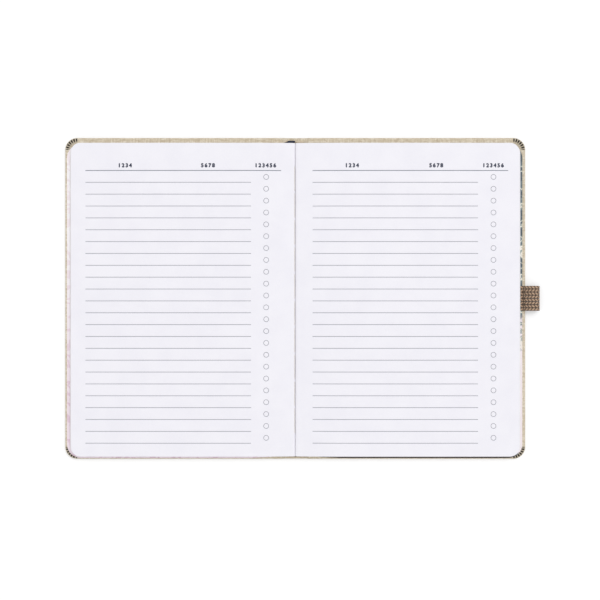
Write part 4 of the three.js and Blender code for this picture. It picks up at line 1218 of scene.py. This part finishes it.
def ribbonObject():
    # Rows: place along, drop over the head of the block and share of the width kept
    span = book["head"] - ribbon["tail"]
    rows = [(ribbon["tail"] + span * i / ribbon["steps"], 0.0, 1.0) for i in range(ribbon["steps"] + 1)]
    rows += ribbon["overHead"]
    points, flat, lengths = [], [], []
    length = 0.0
    for i, (y, drop, share) in enumerate(rows):
        length += math.dist((y, drop), rows[i - 1][:2]) if i else 0.0
        lengths.append(length)
    for lift in (ribbon["thickness"], 0.0):
        for (y, drop, share), along in zip(rows, lengths):
            for j in range(ribbon["columns"]):
                across = j / (ribbon["columns"] - 1)
                aside = ease((y - ribbon["shiftStart"]) / ribbon["shiftRun"])
                near = ribbon["near"] - ribbon["shift"] * aside
                reach = near + ribbon["width"] * across * share
                rim = ribbon["edge"] if across in (0.0, 1.0) else 0.0
                height = layerHeight(ribbon["low"], reach) - drop + lift + (rim if lift else -rim)
                points.append((-reach, y, height))
                flat.append((ribbon["width"] * across, along))
    shape = meshObject("ribbonSatin", points, slabFaces(len(rows), ribbon["columns"]), looks["satin"], flat)
    return keepEdges(closeOut(shape))


attach(ribbonObject(), ("spine", "front_half", (0, 106.2 * mm, 0), (0, 103.9 * mm, 0)), "ribbon",
       "ribbon_marker")
print("sewing and ribbon ready")

# Pen loop

loop = {"neckInset": 1.3, "seam": 2, "slit": 0.16, "length": 9.4, "floor": 0.3, "height": 7, "seat": 0.1,
        "neck": 1.6, "belly": 3.8, "noseBow": 4.6, "noseRound": 2.4, "neckBow": 1.6, "shoulderBow": 2.4,
        "heelBow": 2.2, "heelRise": 0.3, "heelDrop": 0.9, "coverGap": 0.25, "ribs": 8, "pitch": 2.1,
        "ribHalf": 1.03, "thickness": 0.88, "tabStart": 142, "tabLow": 2.9, "tabUnder": 3.06, "tabHigh": 3.4,
        "tabGap": 0.4, "tabSteps": 30, "tabRise": 0.8, "bendSteps": 14, "heelSteps": 12, "outset": 0.02,
        "ribTurns": 16, "flatTop": 0.8, "flatSide": 0.9, "sideShare": 0.3, "paintedShadeStart": 0.55, "paintedShadeRun": 0.4}


def bezier(start, first, second, end, count):
    # Points along a cubic curve, without its last one
    path = []
    for i in range(count):
        t = i / count
        shares = ((1 - t) ** 3, 3 * t * (1 - t) ** 2, 3 * t * t * (1 - t), t ** 3)
        path.append(tuple(sum(w * p[k] for w, p in zip(shares, (start, first, second, end))) for k in (0, 1)))
    return path


def loopPath(inset):
    # Side view of the loop, from the seat of its neck over the belly, the nose and the heel
    inside = inset > loop["thickness"] / 2
    inner = cover["reach"] - loop["neckInset"] + (loop["seam"] if inside else inset)
    nose = cover["reach"] + loop["length"] - inset
    floor, crown = loop["floor"] + inset, loop["floor"] + loop["height"] - inset
    middle = (floor + crown) / 2
    belly = cover["reach"] + loop["belly"]
    edge = cover["reach"] + loop["coverGap"] + inset
    low = cover["top"] + loop["seat"] + inset
    high = low + (loop["slit"] if inside else loop["neck"] - inset)
    heel = cover["top"] - loop["heelDrop"] + inset
    path = [(inner, low)]
    path += bezier((inner, high), (inner + loop["neckBow"], high), (belly - loop["shoulderBow"], crown),
                   (belly, crown), loop["bendSteps"])
    path += bezier((belly, crown), (belly + loop["noseBow"], crown), (nose, middle + loop["noseRound"]),
                   (nose, middle), loop["bendSteps"])
    path += bezier((nose, middle), (nose, middle - loop["noseRound"]), (belly + loop["noseBow"], floor),
                   (belly, floor), loop["bendSteps"])
    path += bezier((belly, floor), (belly - loop["heelBow"], floor), (edge, floor + loop["heelRise"]),
                   (edge, heel), loop["heelSteps"])
    return path + [(edge, heel), (edge, low)]


def cordFaces(first, rows, turns, closed):
    # Faces of a cord, from rings of points: a closed loop or one with two ends
    faces = []
    for i in range(rows if closed else rows - 1):
        for k in range(turns):
            a, b = first + i * turns, first + (i + 1) % rows * turns
            faces.append((a + k, a + (k + 1) % turns, b + (k + 1) % turns, b + k))
    if not closed:
        last = first + (rows - 1) * turns
        faces += [tuple(first + k for k in range(turns))[::-1], tuple(last + k for k in range(turns))]
    return faces


def ribbedObject(name, outer, inner, closed):
    # Ribs side by side, each one a flat rounded cord between an outer and an inner line of the side view
    points, faces, flat, fold = [], [], [], []
    turns = loop["ribTurns"]
    lengths = [0.0]
    for i in range(1, len(outer)):
        lengths.append(lengths[-1] + math.dist(outer[i - 1], outer[i]))
    for rib in range(loop["ribs"]):
        middle = (rib - (loop["ribs"] - 1) / 2) * loop["pitch"]
        lean = 1 if rib % 2 else -1  # yarns lean the other way on every second rib
        faces += cordFaces(len(points), len(outer), turns, closed)
        for (outX, outZ), (inX, inZ), along in zip(outer, inner, lengths):
            for k in range(turns):
                angle = 2 * halfTurn * k / turns
                rise = math.copysign(abs(math.sin(angle)) ** loop["flatTop"], math.sin(angle))
                wide = math.copysign(abs(math.cos(angle)) ** loop["flatSide"], math.cos(angle))
                share = (1 + rise) / 2
                fuller = 1 + loop["sideShare"] * (1 - abs(rise))
                points.append((inX + (outX - inX) * share, middle + loop["ribHalf"] * wide,
                               inZ + (outZ - inZ) * share))
                flat.append((along * lean, loop["ribHalf"] * wide * fuller))
                # Painted shade on the rib's sides, where it meets the next rib
                fold.append(ease((abs(wide) - loop["paintedShadeStart"]) / loop["paintedShadeRun"]))
    return keepEdges(closeOut(meshObject(name, points, faces, looks["elastic"], flat, fold)))


def tabPaths():
    # Upper and lower line of the tab, from its hidden end to the loop's neck
    neck = cover["reach"] - loop["neckInset"] + loop["tabGap"]
    steps = loop["tabSteps"]
    places = [loop["tabStart"] + (neck - loop["tabStart"]) * i / steps for i in range(steps + 1)]
    crest = loop["tabHigh"] - loop["tabUnder"]
    top = [(x, loop["tabUnder"] + crest * ease((x - book["topReach"]) / loop["tabRise"])) for x in places]
    return top, [(x, loop["tabLow"]) for x in places]


elasticLoop = ribbedObject("penLoopElastic", loopPath(loop["outset"]), loopPath(loop["thickness"]), True)
attach(elasticLoop, "pen_loop", "elastic", "pen_loop")
attach(ribbedObject("penLoopTabElastic", *tabPaths(), False), "back_half", "elastic", "pen_loop_tab")
print("pen loop ready")

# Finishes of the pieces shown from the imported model

for node, look in (("front_board", "board"), ("back_board", "board"), ("spine_card", "board"),
                   ("front_mull", "mull"), ("back_mull", "mull")):
    nodes[node].data.materials.clear()
    nodes[node].data.materials.append(looks[look])

# Floor, light and camera

# The camera's measures and the floor's drop are in mm, the floor, the lamps and the glow's reach in metres
studio = {"floor": 3.0, "cameraAcross": 3.2, "cameraAlong": -1.1, "cameraHeight": 750, "frame": 403.6,
          "world": 0.71, "key": 50.0, "fill": 9.0, "glow": 0.32, "farGlow": 0.3, "floorTone": "DFDFDF",
          "skyTone": "FCFDFF", "white": "FFFFFF", "floorRoughness": 0.9, "glowNear": 0.5, "glowFar": 2.5,
          "below": 0.2, "lampSize": 1.8, "keyPlace": (1.2, 1.2, 3.6), "fillPlace": (-2.2, -1.0, 3.2)}


def seenRay(tree):
    # One for a ray that shows the background: straight, in a reflection or through glass
    rays = addNode(tree, "ShaderNodeLightPath").outputs
    seen = rays["Is Camera Ray"]
    for name in ("Is Glossy Ray", "Is Transmission Ray"):
        seen = addNode(tree, "ShaderNodeMath", {"operation": "MAXIMUM"}, {0: seen, 1: rays[name]})
    return seen


def floorMaterial():
    # White paper sweep: keeps the shadow, with a little of its own light so that it reads white
    material, tree, shader = newMaterial("whitePaperSweep", studio["floorRoughness"])
    setInputs(tree, shader, {"Base Color": linear(studio["floorTone"])})
    coords = addNode(tree, "ShaderNodeTexCoord").outputs["Object"]
    away = addNode(tree, "ShaderNodeVectorMath", {"operation": "LENGTH"}, {0: coords})
    share = addNode(tree, "ShaderNodeMapRange", smooth, {
        "Value": away, "From Min": studio["glowNear"], "From Max": studio["glowFar"]})
    level = addNode(tree, "ShaderNodeMath", multiplyAdd, {0: share, 1: studio["farGlow"], 2: studio["glow"]})
    strength = addNode(tree, "ShaderNodeMath", multiply, {0: seenRay(tree), 1: level})
    glow = addNode(tree, "ShaderNodeEmission", None, {"Color": linear(studio["white"]), "Strength": strength})
    lit = addNode(tree, "ShaderNodeAddShader", None, {0: shader, 1: glow})
    setInputs(tree, tree.nodes["Material Output"], {"Surface": lit})
    return material


corners = [(across * studio["floor"], along * studio["floor"], -studio["below"] * mm)
           for across, along in ((-1, -1), (1, -1), (1, 1), (-1, 1))]
floorMesh = bpy.data.meshes.new("studioFloor")
floorMesh.from_pydata(corners, [], [(0, 1, 2, 3)])
floorMesh.materials.append(floorMaterial())
floor = bpy.data.objects.new("studioFloor", floorMesh)
bpy.context.scene.collection.objects.link(floor)

world = bpy.data.worlds.new("studioWorld")
bpy.context.scene.world = world
world.use_nodes = True
sky = world.node_tree
shown = seenRay(sky)
tint = addNode(sky, "ShaderNodeMix", colours, {
    "Factor": shown, "A": linear(studio["skyTone"]), "B": linear(studio["white"])})
strength = addNode(sky, "ShaderNodeMix", numbers, {"Factor": shown, "A": studio["world"], "B": 1.0})
setInputs(sky, sky.nodes["Background"], {"Color": tint, "Strength": strength})


def softLight(name, place, size, power):
    # A square lamp that faces the middle of the object
    lamp = bpy.data.lights.new(name, "AREA")
    lamp.size = size
    lamp.energy = power
    obj = bpy.data.objects.new(name, lamp)
    bpy.context.scene.collection.objects.link(obj)
    obj.location = place
    obj.rotation_euler = (Vector((0, 0, 0)) - Vector(place)).to_track_quat("-Z", "Y").to_euler()


softLight("keyLight", studio["keyPlace"], studio["lampSize"], studio["key"])
softLight("fillLight", studio["fillPlace"], studio["lampSize"], studio["fill"])

camera = bpy.data.cameras.new("photoCamera")
camera.lens = camera.sensor_width * (studio["cameraHeight"] - cover["top"]) / studio["frame"]
camera.clip_start = 0.01
cameraObject = bpy.data.objects.new("photoCamera", camera)
bpy.context.scene.collection.objects.link(cameraObject)
cameraObject.location = (studio["cameraAcross"] * mm, studio["cameraAlong"] * mm, studio["cameraHeight"] * mm)
bpy.context.scene.camera = cameraObject
bpy.context.scene.view_settings.view_transform = "Standard"

print("scene ready")
